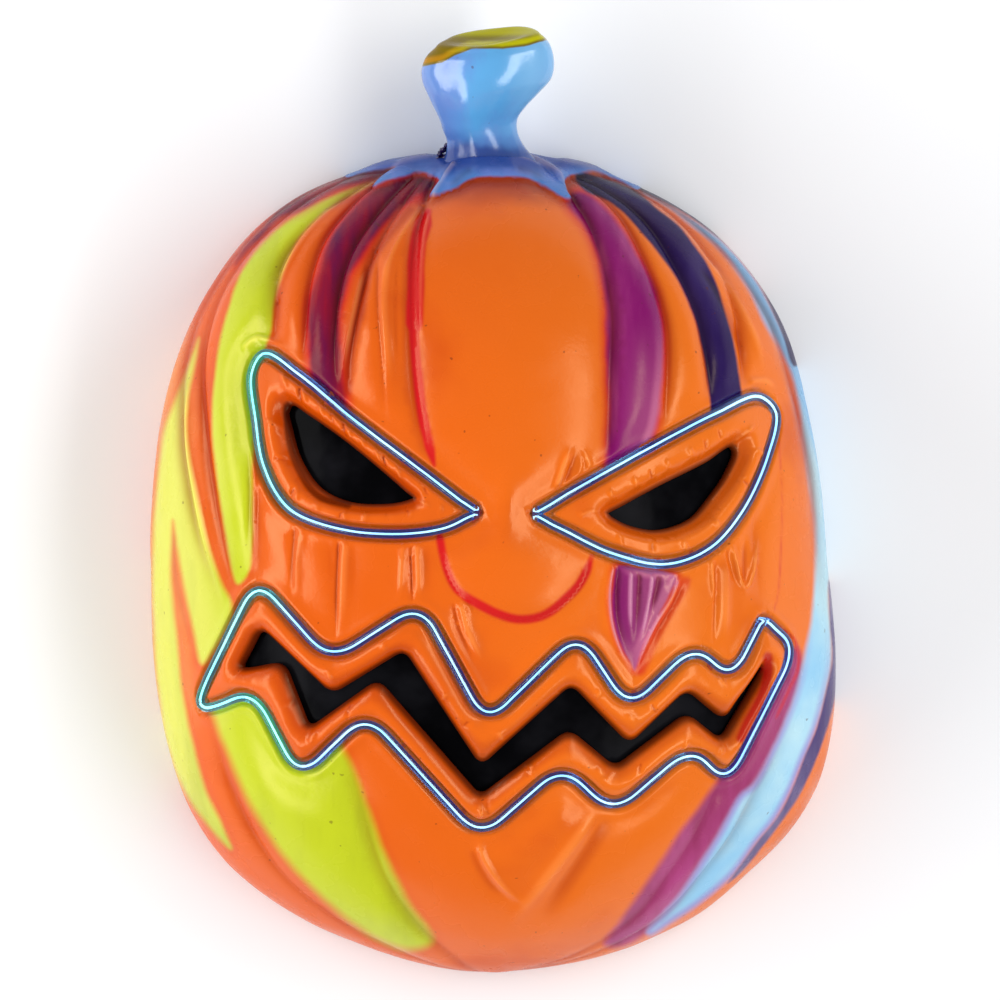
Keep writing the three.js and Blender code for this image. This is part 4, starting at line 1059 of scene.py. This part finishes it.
def add_rings(body, rings, kind, values=None, swapped=False):
    """Rings of points with faces from each to the next, facing the other way if swapped; gives their rows."""
    sides = len(rings[0])
    start = body.add(np.vstack(rings), [], kind, values)
    rows = [start + np.arange(sides) + sides * row for row in range(len(rings))]
    for pair in zip(rows[:-1], rows[1:]):
        body.link(bridge(*(pair[::-1] if swapped else pair)), kind)
    return rows


# The edge of a hole, as inward steps and heights, and the rim's, as heights and inward steps
HOLE_EDGE = [(0.22, -0.22), (0.36, -0.7), (0.3, -1.4)]
RIM_EDGE = [(4, 0), (2, 0), (0.6, 0.05), (0.15, 0.2), (0, 0.6), (0, 1.4), (0.5, 2), (3, 2)]


def add_strip(body, rows, first, last, values, inward):
    """Rows of points between the edges of the two skins, joined to both."""
    previous = first
    for row in rows:
        current = body.add(row, [], PAINTED, values) + np.arange(len(row))
        body.link(bridge(current, previous) if inward else bridge(previous, current), PAINTED)
        previous = current
    body.link(bridge(last, previous) if inward else bridge(previous, last), PAINTED)


def hole_edge(opening, base, normal):
    """Rows of points that round the edge of a hole."""
    toward = np.column_stack([-out_of_hole(opening), np.zeros(len(base))])
    return [base + toward * side + normal * drop for side, drop in HOLE_EDGE]


def rim_edge(base, normal):
    """Rows of points that round the rim and close it under the wall."""
    rows = [base - normal * inset for _, inset in RIM_EDGE]
    for row, (height, _) in zip(rows, RIM_EDGE):
        row[:, 2] = height
    return rows


def add_skins(body):
    """The outer and inner skin of the shell, joined around its rim and its holes."""
    points, rim, holes, lines = spread_points(SPACING, True)
    outer = skin(points)
    skin_points = raised(outer)
    values = painted(seen_place(skin_points))
    values.update({key: outer[key] for key in ("gap", "band", "collar", "crease", "fold")})
    start = body.add(skin_points, triangulate(points, holes, lines), PAINTED, values)

    points, inner_rim, inner_holes, _ = spread_points(INNER_SPACING, False)
    inner = raised(skin(points), -WALL)
    inner_start = body.add(inner, triangulate(points, inner_holes)[:, ::-1], RAW)

    def join(loop, inner_loop, rows, inward):
        edge_values = {key: value[loop] for key, value in values.items()}
        add_strip(body, rows, start + np.array(loop), inner_start + np.array(inner_loop), edge_values, inward)

    for opening, hole, inner_hole in zip(openings, holes, inner_holes):
        rows = hole_edge(opening, skin_points[hole], outer["normal"][hole])
        join(hole, inner_hole, rows, turns_left(opening["hole"]))
    join(rim, inner_rim, rim_edge(skin_points[rim], outer["normal"][rim]), False)


STEM_SIDES = 72
STEM_STEPS = 6
# Size and height of the rings that roll and dish the stem's end face
CAP_RINGS = [
    (0.985, 0.35), (0.95, 0.75), (0.88, 1.05), (0.76, 1.0), (0.6, 0.6), (0.4, 0.1), (0.2, -0.2),
    (0.02, -0.25),
]
# The lower edge of the cap's paint, in pixels
CAP_LINE = pairs("420,66 427,65 441,63 456,54 472,48 502,49 525,46 545,40 560,36")
# The value of what lies far below that line
OFF_CAP = -9.0


def stem_ring(level, scale=1.0, rise=0.0):
    """One ring of the stem around a section, slightly fluted."""
    left, right, z, depth, tilt = level[:2], level[2:4], level[4], level[5], np.radians(level[6])
    angle = np.linspace(0, 2 * np.pi, STEM_SIDES, endpoint=False)
    reach = scale * (1 + 0.034 * np.cos(5 * (angle - 1.65)) + 0.008 * np.cos(9 * angle + 2.2))[:, None]
    across = np.array([*((right - left) / 2), 0])
    forward = np.array([0, -np.sin(tilt), np.cos(tilt)])
    axis = np.cross(forward, across)
    middle = np.array([*((left + right) / 2), z]) + axis / np.linalg.norm(axis) * rise
    return middle + reach * (np.cos(angle)[:, None] * across + np.sin(angle)[:, None] * forward * depth)


def add_stem(body):
    """The stem, lofted between its sections, with its rolled and dished end face."""
    levels = open_curve(STEM_SECTIONS, STEM_STEPS)
    rings = [stem_ring(level) for level in levels]
    rings += [stem_ring(levels[-1], scale, rise) for scale, rise in CAP_RINGS]
    points = np.vstack(rings)
    line_x, line_y = plan(CAP_LINE).T
    above_line = points[:, 1] - np.interp(points[:, 0], line_x, line_y)
    rows = add_rings(body, rings, STEM, {"cap": above_line})
    body.link([rows[-1][::-1]], STEM)


# Ragged bits of moulding flash left of the stem's foot, their height and half depth in millimetres
FLASH_HEIGHT = 24
FLASH_DEPTH = 1.4
# Each bit's middle, half width and half height in pixels, and its turn in degrees
FLASH = [
    (451, 140, 2.6, 4.2, 20), (447, 145, 3.4, 3.4, -30), (443, 149, 3.6, 3.0, 35), (449, 150, 3.6, 4.0, 0),
    (440, 153, 3.4, 2.8, -20), (445, 156, 4.6, 3.2, 15), (438, 157.5, 3.6, 1.8, 8),
]


def add_flash(body, rows=7, sides=10):
    """Each bit is a small rough lump that is sunk in its neighbours."""
    random = np.random.default_rng(5)
    climb, turn = np.meshgrid(
        np.linspace(0.12, np.pi - 0.12, rows), np.linspace(0, 2 * np.pi, sides, endpoint=False), indexing="ij"
    )
    ball = np.stack([np.sin(climb) * np.cos(turn), np.sin(climb) * np.sin(turn), np.cos(climb)], axis=-1)
    for x, y, wide, high, degrees in FLASH:
        rough = ball * random.uniform(0.8, 1.25, (rows * sides, 1)).reshape(rows, sides, 1)
        across, up = rough[..., 0] * wide * PIXEL, rough[..., 1] * high * PIXEL
        cos, sin = np.cos(np.radians(degrees)), np.sin(np.radians(degrees))
        middle = plan([(x, y)])[0]
        rings = np.stack([
            middle[0] + across * cos - up * sin, middle[1] + across * sin + up * cos,
            FLASH_HEIGHT + rough[..., 2] * FLASH_DEPTH,
        ], axis=-1)
        values = {"flash": np.ones(rows * sides), "cap": np.full(rows * sides, OFF_CAP)}
        lines = add_rings(body, rings, STEM, values)
        body.link([lines[0], lines[-1][::-1]], STEM)


def add_tube(body, route, radius, sides, kind):
    """A round tube along a route, closed at both ends."""
    along = np.gradient(route, axis=0)
    along /= np.linalg.norm(along, axis=1, keepdims=True)
    side = np.cross(along[0], [0.3, 0.5, 0.8])
    angle = np.linspace(0, 2 * np.pi, sides, endpoint=False)
    rings = []
    for place, direction in zip(route, along):
        side = side - direction * side.dot(direction)
        side /= np.linalg.norm(side)
        up = np.cross(direction, side)
        rings.append(place + radius * (np.outer(np.cos(angle), side) + np.outer(np.sin(angle), up)))
    rows = add_rings(body, rings, kind, swapped=True)
    body.link([rows[0][::-1], rows[-1]], kind)


def wire_route(opening):
    """The wire's way around its opening, with both ends going in at the first corner."""
    surface, normal = opening["surface"], opening["normal"]
    corner = surface[0]
    beyond = np.linalg.norm(surface - corner, axis=1) > WIRE_END_SPREAD * 2
    first = int(np.argmax(beyond))
    last = len(surface) - int(np.argmax(beyond[::-1]))
    across = surface[first] - surface[last - 1]
    across /= np.linalg.norm(across)
    wobble = ripple(surface[:, :2] * 3.1) / RIPPLE_HEIGHT * WIRE_WOBBLE
    line = surface + normal * WIRE_LIFT + sideways(opening) * wobble[:, None]
    heights = (-WIRE_END_DEPTH, WIRE_LIFT / 2)
    start, end = (
        [corner + across * side * WIRE_END_SPREAD + normal[0] * height for height in heights]
        for side in (1, -1)
    )
    return open_curve([*start, *line[first:last:2], *end[::-1]], 2)


def fill_loop(loop, spacing):
    """Points inside a closed loop, after the loop's own, and triangles over them."""
    grid = dome_rings(spacing)
    grid = grid[inside(grid, loop)]
    gap, _ = distance_to(grid, loop)
    points = np.vstack([loop, grid[gap > spacing * 0.5]])
    triangles = delaunay(points, loop_edges(list(range(len(loop)))))
    triangles = triangles[(triangles >= 0).all(axis=1)]
    return points, triangles[inside(points[triangles].mean(axis=1), loop)]


def make_film_body(opening):
    """The dark sheet behind an opening, which stands in for the shade inside the mask."""
    hole = opening["hole"]
    to_wire, _ = distance_to(hole, opening["wire"])
    margin = np.minimum(to_wire * FILM_MARGIN, FILM_REACH)
    edge = even_loop(hole + out_of_hole(opening) * margin[:, None], FILM_EDGE_SPACING)
    points, triangles = fill_loop(edge, FILM_SPACING)
    surface, normal = dome(points)
    top = opening["band"][-1][1] - WALL - GAP * 2
    body = Body()
    upper = body.add(surface + normal * top, triangles, 0)
    lower = body.add(surface + normal * (top - FILM_THICKNESS), triangles[:, ::-1], 0)
    loop = np.arange(len(edge))
    faces = bridge(loop + lower, loop + upper)
    body.link(faces[:, ::-1] if turns_left(edge) else faces, 0)
    return body


# The light on the face is stronger than 1, so a surface reflects this share of its colour as it is seen
SEEN_SHARE = 0.8


def linear(color, share=SEEN_SHARE):
    """The linear values that a shader takes for a colour as it is seen in the light."""
    part = np.array(color) / 255
    return (*(np.where(part <= 0.04045, part / 12.92, ((part + 0.055) / 1.055) ** 2.4) * share), 1.0)


class Shader:
    """Short ways to add and join the nodes of one material."""

    def __init__(self, name, roughness, **plain):
        self.material = bpy.data.materials.new(name)
        self.material.use_nodes = True
        self.tree = self.material.node_tree
        self.surface = self.tree.nodes["Principled BSDF"]
        for key, value in {"Roughness": roughness, **plain}.items():
            self.give(key.replace("_", " "), value)
        self.places = self.tree.nodes.new("ShaderNodeTexCoord").outputs["Object"]

    def put(self, socket, value):
        """Joins a socket to another, or sets it to a number, a colour or a colour's name."""
        if isinstance(value, bpy.types.NodeSocket):
            self.tree.links.new(value, socket)
        else:
            socket.default_value = linear(COLORS[value]) if isinstance(value, str) else value

    def give(self, key, value):
        self.put(self.surface.inputs[key], value)

    def add(self, kind, inputs, **settings):
        """A new node with its inputs by name or number."""
        node = self.tree.nodes.new("ShaderNode" + kind)
        for key, value in settings.items():
            setattr(node, key, value)
        for key, value in inputs.items():
            self.put(node.inputs[key], value)
        return node.outputs

    def attribute(self, name):
        return self.add("Attribute", {}, attribute_name=name)["Fac"]

    def noise(self, scale, detail=3.0, roughness=0.5, stretch=None):
        places = self.places
        if stretch:
            places = self.add("Mapping", {"Vector": places, "Scale": stretch})["Vector"]
        inputs = {"Vector": places, "Scale": scale, "Detail": detail, "Roughness": roughness}
        return self.add("TexNoise", inputs)["Fac"]

    def math(self, operation, first, second):
        return self.add("Math", {0: first, 1: second}, operation=operation)[0]

    def times(self, first, second):
        return self.math("MULTIPLY", first, second)

    def moved(self, value, wander, amount):
        return self.math("ADD", value, self.times(wander, amount))

    def ramp(self, value, low, high, bottom=0.0, top=1.0):
        inputs = {"Value": value, "From Min": low, "From Max": high, "To Min": bottom, "To Max": top}
        return self.add("MapRange", inputs, interpolation_type="SMOOTHSTEP")["Result"]

    def mix(self, share, first, second, blend="MIX"):
        inputs = {0: share, 6: first, 7: second}
        return self.add("Mix", inputs, data_type="RGBA", blend_type=blend)[2]

    def over(self, color, paint, value, low, high, most=1.0):
        """A colour with a paint over it, which grows as the value goes from low to high."""
        return self.mix(self.ramp(value, low, high, 0, most), color, paint)

    def with_painted_shade(self, color, share):
        """A colour with painted shade, darkened as in a crease."""
        return self.mix(share, color, self.mix(1.0, color, CREASE_SHADE_TINT, "MULTIPLY"))

    def separate(self):
        return self.add("SeparateXYZ", {0: self.places})

    def bump(self, height, strength, distance):
        inputs = {"Strength": strength, "Distance": distance, "Height": height}
        self.give("Normal", self.add("Bump", inputs)["Normal"])


def finish_vinyl(shader, color, low, high):
    """The painted vinyl's slight orange peel, pinholes, dust specks and uneven gloss."""
    broad = shader.noise(70, 3)
    shader.give("Roughness", shader.ramp(broad, 0.3, 0.7, low, high))
    shader.give("Base Color", shader.over(color, "dark_speck", shader.noise(420, 1), 0.77, 0.8, 0.5))
    shader.bump(shader.moved(broad, shader.noise(900, 2), 0.25), 0.25, 0.0006)


# Colours as they are seen, in sRGB numbers up to 255
COLORS = {
    "orange": (240, 98, 10), "lit_side_orange": (255, 122, 22), "sheen_orange": (246, 158, 80),
    "deep_orange": (214, 68, 8), "dark_speck": (90, 30, 16),
    "lime": (206, 218, 30), "sheen_lime": (234, 232, 100), "olive": (158, 166, 30), "wine": (92, 8, 72),
    "magenta_wine": (164, 14, 40), "red": (222, 6, 30), "purple": (140, 4, 108), "magenta": (196, 78, 146),
    "red_purple": (164, 56, 108), "pink": (214, 116, 156), "pale_pink_highlight": (232, 150, 190),
    "navy": (34, 8, 82), "navy_grey": (70, 52, 118), "grey_violet": (128, 116, 160), "sky": (150, 216, 255),
    "pale_sky": (202, 244, 255), "lilac": (164, 166, 228), "deep_sky": (112, 180, 236),
    "blue": (98, 180, 240), "lit_side_blue": (142, 206, 255), "periwinkle": (112, 140, 222),
    "collar_blue": (78, 132, 206), "shaded_blue": (58, 88, 174), "foot_shade_blue": (38, 66, 150),
    "amber": (196, 138, 26), "cap_lime": (206, 200, 20), "cap_olive_and_edge_shade": (124, 108, 18),
    "raw_vinyl": (212, 84, 22), "hole_shade_brown": (70, 18, 6), "crown_shade_brown": (166, 62, 44),
    "crease_shade_red": (184, 40, 10), "dark_red": (196, 16, 18), "fold_light": (150, 120, 70),
    "teal_jacket": (88, 200, 208), "sky_jacket": (108, 184, 230), "blue_jacket": (92, 156, 232),
    "teal_glow": (4, 66, 84), "sky_glow": (4, 36, 84), "blue_glow": (4, 18, 74),
    "cool_core": (215, 240, 255), "warm_core": (255, 250, 250), "film_shade_black": (6, 6, 8),
    "film_reflection_grey": (26, 26, 30),
}
WARM_SHEEN = (1.0, 0.74, 0.42, 1.0)
CREASE_SHADE_TINT = (0.55, 0.2, 0.16, 1)
# Layers of paint on the shell, in turn: the area, the colour or mixed paint, half the width of its soft edge,
# how far it wanders and where it begins, in millimetres, and the most that it covers
LAYERS = [
    ("lime_upper", "deep_orange", 1.6, 1.0, -1.5, 0.4), ("lime_upper", "lime stripe", 0.9, 1.2, 0, 1),
    ("lime_side", "deep_orange", 1.9, 1.0, -1.5, 0.4), ("lime_side", "lime stripe", 1.2, 1.2, 0, 1),
    ("lime_lower", "deep_orange", 2.6, 1.0, -1.5, 0.4), ("lime_lower", "lime stripe", 1.9, 1.2, 0, 1),
    ("wine_rib", "red", 1.9, 2.0, -1.7, 0.85), ("wine_rib", "wine stripe", 1.1, 2.2, 0, 1),
    ("wine_edge", "red", 1.9, 2.0, -1.7, 0.4), ("wine_edge", "wine stripe", 1.1, 2.2, 0, 1),
    ("purple_rib", "red", 2.0, 1.6, -1.4, 0.85), ("purple_rib", "purple stripe", 1.2, 1.6, 0, 1),
    ("purple_rib", "purple", 1.0, 2.0, 2.4, 0.6),
    ("leaf", "red", 1.4, 1.6, -1.4, 0.7), ("leaf", "purple stripe", 0.6, 1.6, 0, 1),
    ("leaf", "purple", 1.0, 2.0, 2.4, 0.6),
    ("purple_side", "red", 1.6, 1.6, 0, 0.3), ("purple_side", "magenta stripe", 1.5, 1.6, 0, 1),
    ("navy_rib", "navy stripe", 0.6, 1.2, 0, 1), ("sky_side", "sky stripe", 1.1, 1.2, 0, 1),
    ("navy_edge", "navy stripe", 0.5, 1.0, 0, 1), ("navy_side", "violet stripe", 0.5, 1.0, 0, 1),
    # The last two layers are painted shade: red beside the leaf, and darker red along the crease left of the
    # middle rib.
    ("leaf_shade", "red", 1.0, 0.8, 0, 0.6), ("rib_shade", "crease_shade_red", 1.1, 0.8, 0, 0.65),
]


def stripe_paints(shader, x, y, far_left, cloud, streak):
    """The paints that are mixed of several colours; the lime has a painted sheen at the far left, the purple
    a painted highlight low on the right.
    """
    # Painted sheen: the lime turns paler at the far left.
    lime = shader.over("lime", "sheen_lime", far_left, -0.074, -0.094, 0.85)
    # Painted highlight: the purple turns pink low down on the rib's right side.
    low_rib_highlight = shader.times(shader.ramp(y, 0.06, 0.02), shader.ramp(x, 0.035, 0.046, 0, 0.85))
    purple = shader.mix(low_rib_highlight, shader.over("purple", "magenta", streak, 0.4, 0.7), "pink")
    low_edge = shader.times(shader.ramp(y, -0.03, -0.08), shader.ramp(shader.attribute("sky_side"), 2.6, 0.6))
    sky = shader.mix(low_edge, shader.over("sky", "pale_sky", cloud, 0.35, 0.65), "lilac")
    return {
        "lime stripe": shader.over(lime, "olive", streak, 0.45, 0.75, 0.45),
        "wine stripe": shader.over("magenta_wine", "wine", streak, 0.35, 0.65),
        "purple stripe": purple,
        "magenta stripe": shader.over("red_purple", "magenta", streak, 0.35, 0.7),
        "navy stripe": shader.over("navy", "navy_grey", streak, 0.5, 0.8, 0.5),
        "sky stripe": shader.over(sky, "deep_sky", y, 0.0, 0.045, 0.85),
        "violet stripe": shader.over("navy_grey", "grey_violet", streak, 0.35, 0.65),
    }


def paint_stripes(shader, wander, cloud, streak):
    """The orange ground with painted light at its sides and painted shade at its crown, the layers of paint,
    the creases' painted shade and the red line.
    """
    x, y, _ = shader.separate()
    far_left = shader.moved(x, wander, 0.01)
    # Painted highlight: the orange turns lighter towards the right, where the light falls.
    color = shader.over("orange", "lit_side_orange", x, -0.06, 0.08)
    color = shader.over(color, "deep_orange", cloud, 0.52, 0.75, 0.45)
    # Painted sheen: the orange turns paler at the far left, where the side slopes away.
    color = shader.over(color, "sheen_orange", far_left, -0.086, -0.1, 0.8)
    # Painted shade: the forehead darkens at its crown, towards the collar.
    color = shader.over(color, "crown_shade_brown", shader.moved(y, wander, 0.006), 0.086, 0.094, 0.75)
    paints = stripe_paints(shader, x, y, far_left, cloud, streak)
    outside = shader.ramp(shader.attribute("gap"), 0.2, 1.4)
    for area, paint, edge, amount, shift, most in LAYERS:
        depth = shader.moved(shader.attribute(area), wander, amount)
        share = shader.times(shader.ramp(depth, shift - edge, shift + edge, 0, most), outside)
        color = shader.mix(share, color, paints.get(paint, paint))
    # Painted shade in the creases between the ribs.
    crease = shader.times(shader.attribute("crease"), shader.ramp(cloud, 0.3, 0.6, 0.5, 0.85))
    red = shader.moved(shader.attribute("red_line"), wander, 0.6)
    return shader.over(shader.with_painted_shade(color, crease), "red", red, -0.7, 0.7, 0.95)


def paint_collar(shader, color, wander, streak):
    """The blue collar with painted shade deep in it and by the stem's foot, and painted shade beside it."""
    collar = shader.attribute("collar")
    depth = shader.moved(collar, wander, 1.2)
    crown = shader.moved(shader.separate()[1], wander, 0.006)
    blue = shader.over("collar_blue", "periwinkle", streak, 0.42, 0.62)
    blue = shader.over(blue, "shaded_blue", depth, 1.4, 4.0, 0.7)
    blue = shader.over(blue, "foot_shade_blue", crown, 0.0965, 0.101, 0.75)
    return shader.over(shader.with_painted_shade(color, shader.ramp(collar, -3.5, 0, 0, 0.7)), blue, depth, -0.3, 0.3)


def shade_folds(shader, color):
    """Folds get a painted highlight on their crests, pale pink on the leaf, and painted shade in their
    grooves.
    """
    fold = shader.attribute("fold")
    leaf = shader.ramp(shader.attribute("leaf"), -1.6, 0)
    lit = shader.mix(leaf, shader.mix(1.0, color, "fold_light", "ADD"), "pale_pink_highlight")
    color = shader.over(color, lit, fold, 0.15, 1.1, 0.55)
    color = shader.mix(shader.times(leaf, shader.ramp(fold, 0.3, 1.0, 0, 0.5)), color, "pale_pink_highlight")
    return shader.with_painted_shade(color, shader.ramp(fold, -0.1, -0.8, 0, 0.6))


def shade_bands(shader, color):
    """The bands around the openings get painted shade towards the holes, and in two places beside them."""
    band = shader.attribute("band")
    color = shader.with_painted_shade(color, shader.ramp(band, 0.56, 0.84, 0, 0.4))
    color = shader.over(color, "hole_shade_brown", band, 0.84, 1.0, 0.85)
    brown = shader.times(shader.attribute("brown_shade"), shader.ramp(band, 0.5, 0.8))
    color = shader.over(color, "hole_shade_brown", brown, 0, 1.2, 0.7)
    red = shader.times(shader.attribute("red_shade"), shader.ramp(band, 0.25, 0.45))
    return shader.over(color, "dark_red", red, 0, 1.6, 0.9)


def make_paint():
    """The shell's orange vinyl with airbrushed stripes; dark paints and slopes seen edge on shine less."""
    shader = Shader("painted_vinyl", 0.3, Specular_Tint=WARM_SHEEN)
    wander = shader.math("SUBTRACT", shader.noise(60, 4, 0.6), 0.5)
    streak = shader.noise(55, 4, 0.6, (1, 0.18, 0.3))
    color = paint_stripes(shader, wander, shader.noise(24, 3), streak)
    color = shade_bands(shader, shade_folds(shader, paint_collar(shader, color, wander, streak)))
    gloss = shader.ramp(shader.add("RGBToBW", {0: color})[0], 0.02, 0.25, 0.2, 0.5)
    edge_on = shader.ramp(shader.add("LayerWeight", {})["Facing"], 0.3, 0.75, 1, 0.12)
    shader.give("Specular IOR Level", shader.times(gloss, edge_on))
    finish_vinyl(shader, color, 0.2, 0.32)
    return shader.material


def make_raw_vinyl():
    """The unpainted inner face."""
    shader = Shader("raw_vinyl", 0.6, Specular_IOR_Level=0.3)
    color = shader.over("raw_vinyl", "deep_orange", shader.noise(40, 4), 0.4, 0.7)
    finish_vinyl(shader, color, 0.5, 0.7)
    return shader.material


def paint_stem(shader, streak, wander):
    """Blues that go from the left to the right of the stem, with a painted highlight at the right and painted
    shade at its foot.
    """
    x, y, _ = shader.separate()
    foot = shader.moved(y, wander, 0.008)
    color = shader.over("blue", "periwinkle", streak, 0.42, 0.7, 0.5)
    color = shader.over(color, "periwinkle", x, -0.006, -0.015, 0.7)
    color = shader.over(color, "lit_side_blue", x, 0.001, 0.012, 0.7)
    color = shader.over(color, "shaded_blue", foot, 0.113, 0.107, 0.5)
    color = shader.over(color, "foot_shade_blue", foot, 0.108, 0.1045, 0.85)
    return shader.over(color, "navy", shader.attribute("flash"), 0, 0.9)


def paint_cap(shader, streak, depth):
    """The stem's end is amber to the left and lime to the right, with a bright rim and olive inside it."""
    x, y, _ = shader.separate()
    lime = shader.over("amber", "cap_lime", x, -0.017, -0.004)
    lime = shader.over(lime, "cap_olive_and_edge_shade", streak, 0.45, 0.7, 0.4)
    lime = shader.over(lime, "cap_olive_and_edge_shade", depth, 1.7, 3.2, 0.85)
    return shader.over(lime, "cap_lime", y, 0.1385, 0.1405, 0.8)


def make_stem_paint():
    shader = Shader("stem_paint", 0.35, Coat_Roughness=0.12)
    streak = shader.noise(60, 4, 0.6, (1, 0.35, 1))
    wander = shader.math("SUBTRACT", shader.noise(80, 3), 0.5)
    depth = shader.moved(shader.attribute("cap"), wander, 1.2)
    # A thin line of olive is painted shade where the end face meets the blue.
    color = shader.over(paint_stem(shader, streak, wander), "cap_olive_and_edge_shade", depth, -0.3, 0.2)
    color = shader.over(color, paint_cap(shader, streak, depth), depth, 0.2, 1.2)
    above_foot = shader.ramp(shader.separate()[1], 0.104, 0.112, 0.1, 1)
    shader.give("Coat Weight", shader.times(shader.ramp(depth, -0.5, 1, 0.4, 0), above_foot))
    shader.give("Specular IOR Level", shader.ramp(depth, -0.5, 1, 0.5, 0.04))
    finish_vinyl(shader, color, 0.14, 0.22)
    return shader.material


def make_wire_materials():
    """The clear blue jacket, teal at the far left, and the glowing core of the luminous wires."""
    jacket = Shader("wire_jacket", 0.06, Transmission_Weight=1.0, IOR=1.45, Emission_Strength=1.0)
    tone = jacket.ramp(jacket.noise(45, 2), 0.4, 0.6)
    teal = jacket.ramp(jacket.moved(jacket.separate()[0], tone, 0.006), -0.052, -0.066)
    for key, part in (("Base Color", "jacket"), ("Emission Color", "glow")):
        color = jacket.mix(tone, "sky_" + part, "blue_" + part)
        jacket.give(key, jacket.mix(teal, color, "teal_" + part))
    jacket.bump(jacket.noise(600, 1), 0.1, 0.0002)
    core = Shader("wire_core", 0.4, Emission_Strength=3.0)
    glow = core.over("cool_core", "warm_core", core.noise(70, 2), 0.35, 0.65)
    core.give("Base Color", glow)
    core.give("Emission Color", glow)
    return jacket.material, core.material


# The dark sheet's material: painted shade, black with faint painted grey reflections.
def make_film_material():
    shader = Shader("dark_film", 0.15, Specular_IOR_Level=0.015)
    cloud = shader.noise(30, 4, 0.6)
    shader.give("Base Color", shader.over("film_shade_black", "film_reflection_grey", cloud, 0.35, 0.7))
    shader.give("Roughness", shader.ramp(cloud, 0.3, 0.7, 0.1, 0.25))
    shader.bump(shader.noise(28, 3), 0.35, 0.004)
    return shader.material


def make_shell(paint, raw, stem_paint):
    body = Body()
    add_skins(body)
    add_stem(body)
    add_flash(body)
    shell = body.build("shell", [paint, raw, stem_paint])
    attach(shell, "root")
    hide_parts("mask_shell")


def make_wire(opening, jacket, core):
    body = Body()
    route = wire_route(opening)
    add_tube(body, route, WIRE_DIAMETER / 2, JACKET_SIDES, JACKET)
    add_tube(body, route, CORE_RADIUS, CORE_SIDES, CORE)
    wire = body.build(opening["name"] + "_glow", [jacket, core])
    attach(wire, "root")
    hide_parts(opening["name"] + "_wire")


def make_film(opening, material):
    film = make_film_body(opening).build(opening["name"] + "_shade_sheet", [material])
    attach(film, "root")
    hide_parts(opening["name"] + "_film")


def make_floor():
    """A plain pale floor."""
    half = FLOOR_SIDE / 2
    mesh = bpy.data.meshes.new("floor")
    corners = [(-half, -half, 0), (half, -half, 0), (half, half, 0), (-half, half, 0)]
    mesh.from_pydata(corners, [], [(0, 1, 2, 3)])
    shader = Shader("floor", 0.75)
    shader.give("Base Color", shader.mix(shader.noise(6, 2), *(linear(color, 1) for color in FLOOR_COLORS)))
    mesh.materials.append(shader.material)
    floor = bpy.data.objects.new("floor", mesh)
    bpy.context.scene.collection.objects.link(floor)


def add_light(name, place, size, power):
    data = bpy.data.lights.new(name, "AREA")
    data.shape = "RECTANGLE"
    data.size, data.size_y = size
    data.energy = power
    light = bpy.data.objects.new(name, data)
    light.location = place
    light.rotation_euler = (Vector(LIGHT_TARGET) - Vector(place)).to_track_quat("-Z", "Y").to_euler()
    bpy.context.scene.collection.objects.link(light)


def make_lights():
    world = bpy.data.worlds.new("studio")
    world.use_nodes = True
    background = world.node_tree.nodes["Background"]
    background.inputs["Color"].default_value = WORLD_COLOR
    background.inputs["Strength"].default_value = WORLD_STRENGTH
    bpy.context.scene.world = world
    for light in LIGHTS:
        add_light(*light)


paint = make_paint()
make_shell(paint, make_raw_vinyl(), make_stem_paint())
wire_jacket, wire_core = make_wire_materials()
dark_film = make_film_material()
for opening in openings:
    make_wire(opening, wire_jacket, wire_core)
    make_film(opening, dark_film)
make_floor()
make_lights()
bpy.context.scene.view_settings.view_transform = "Standard"
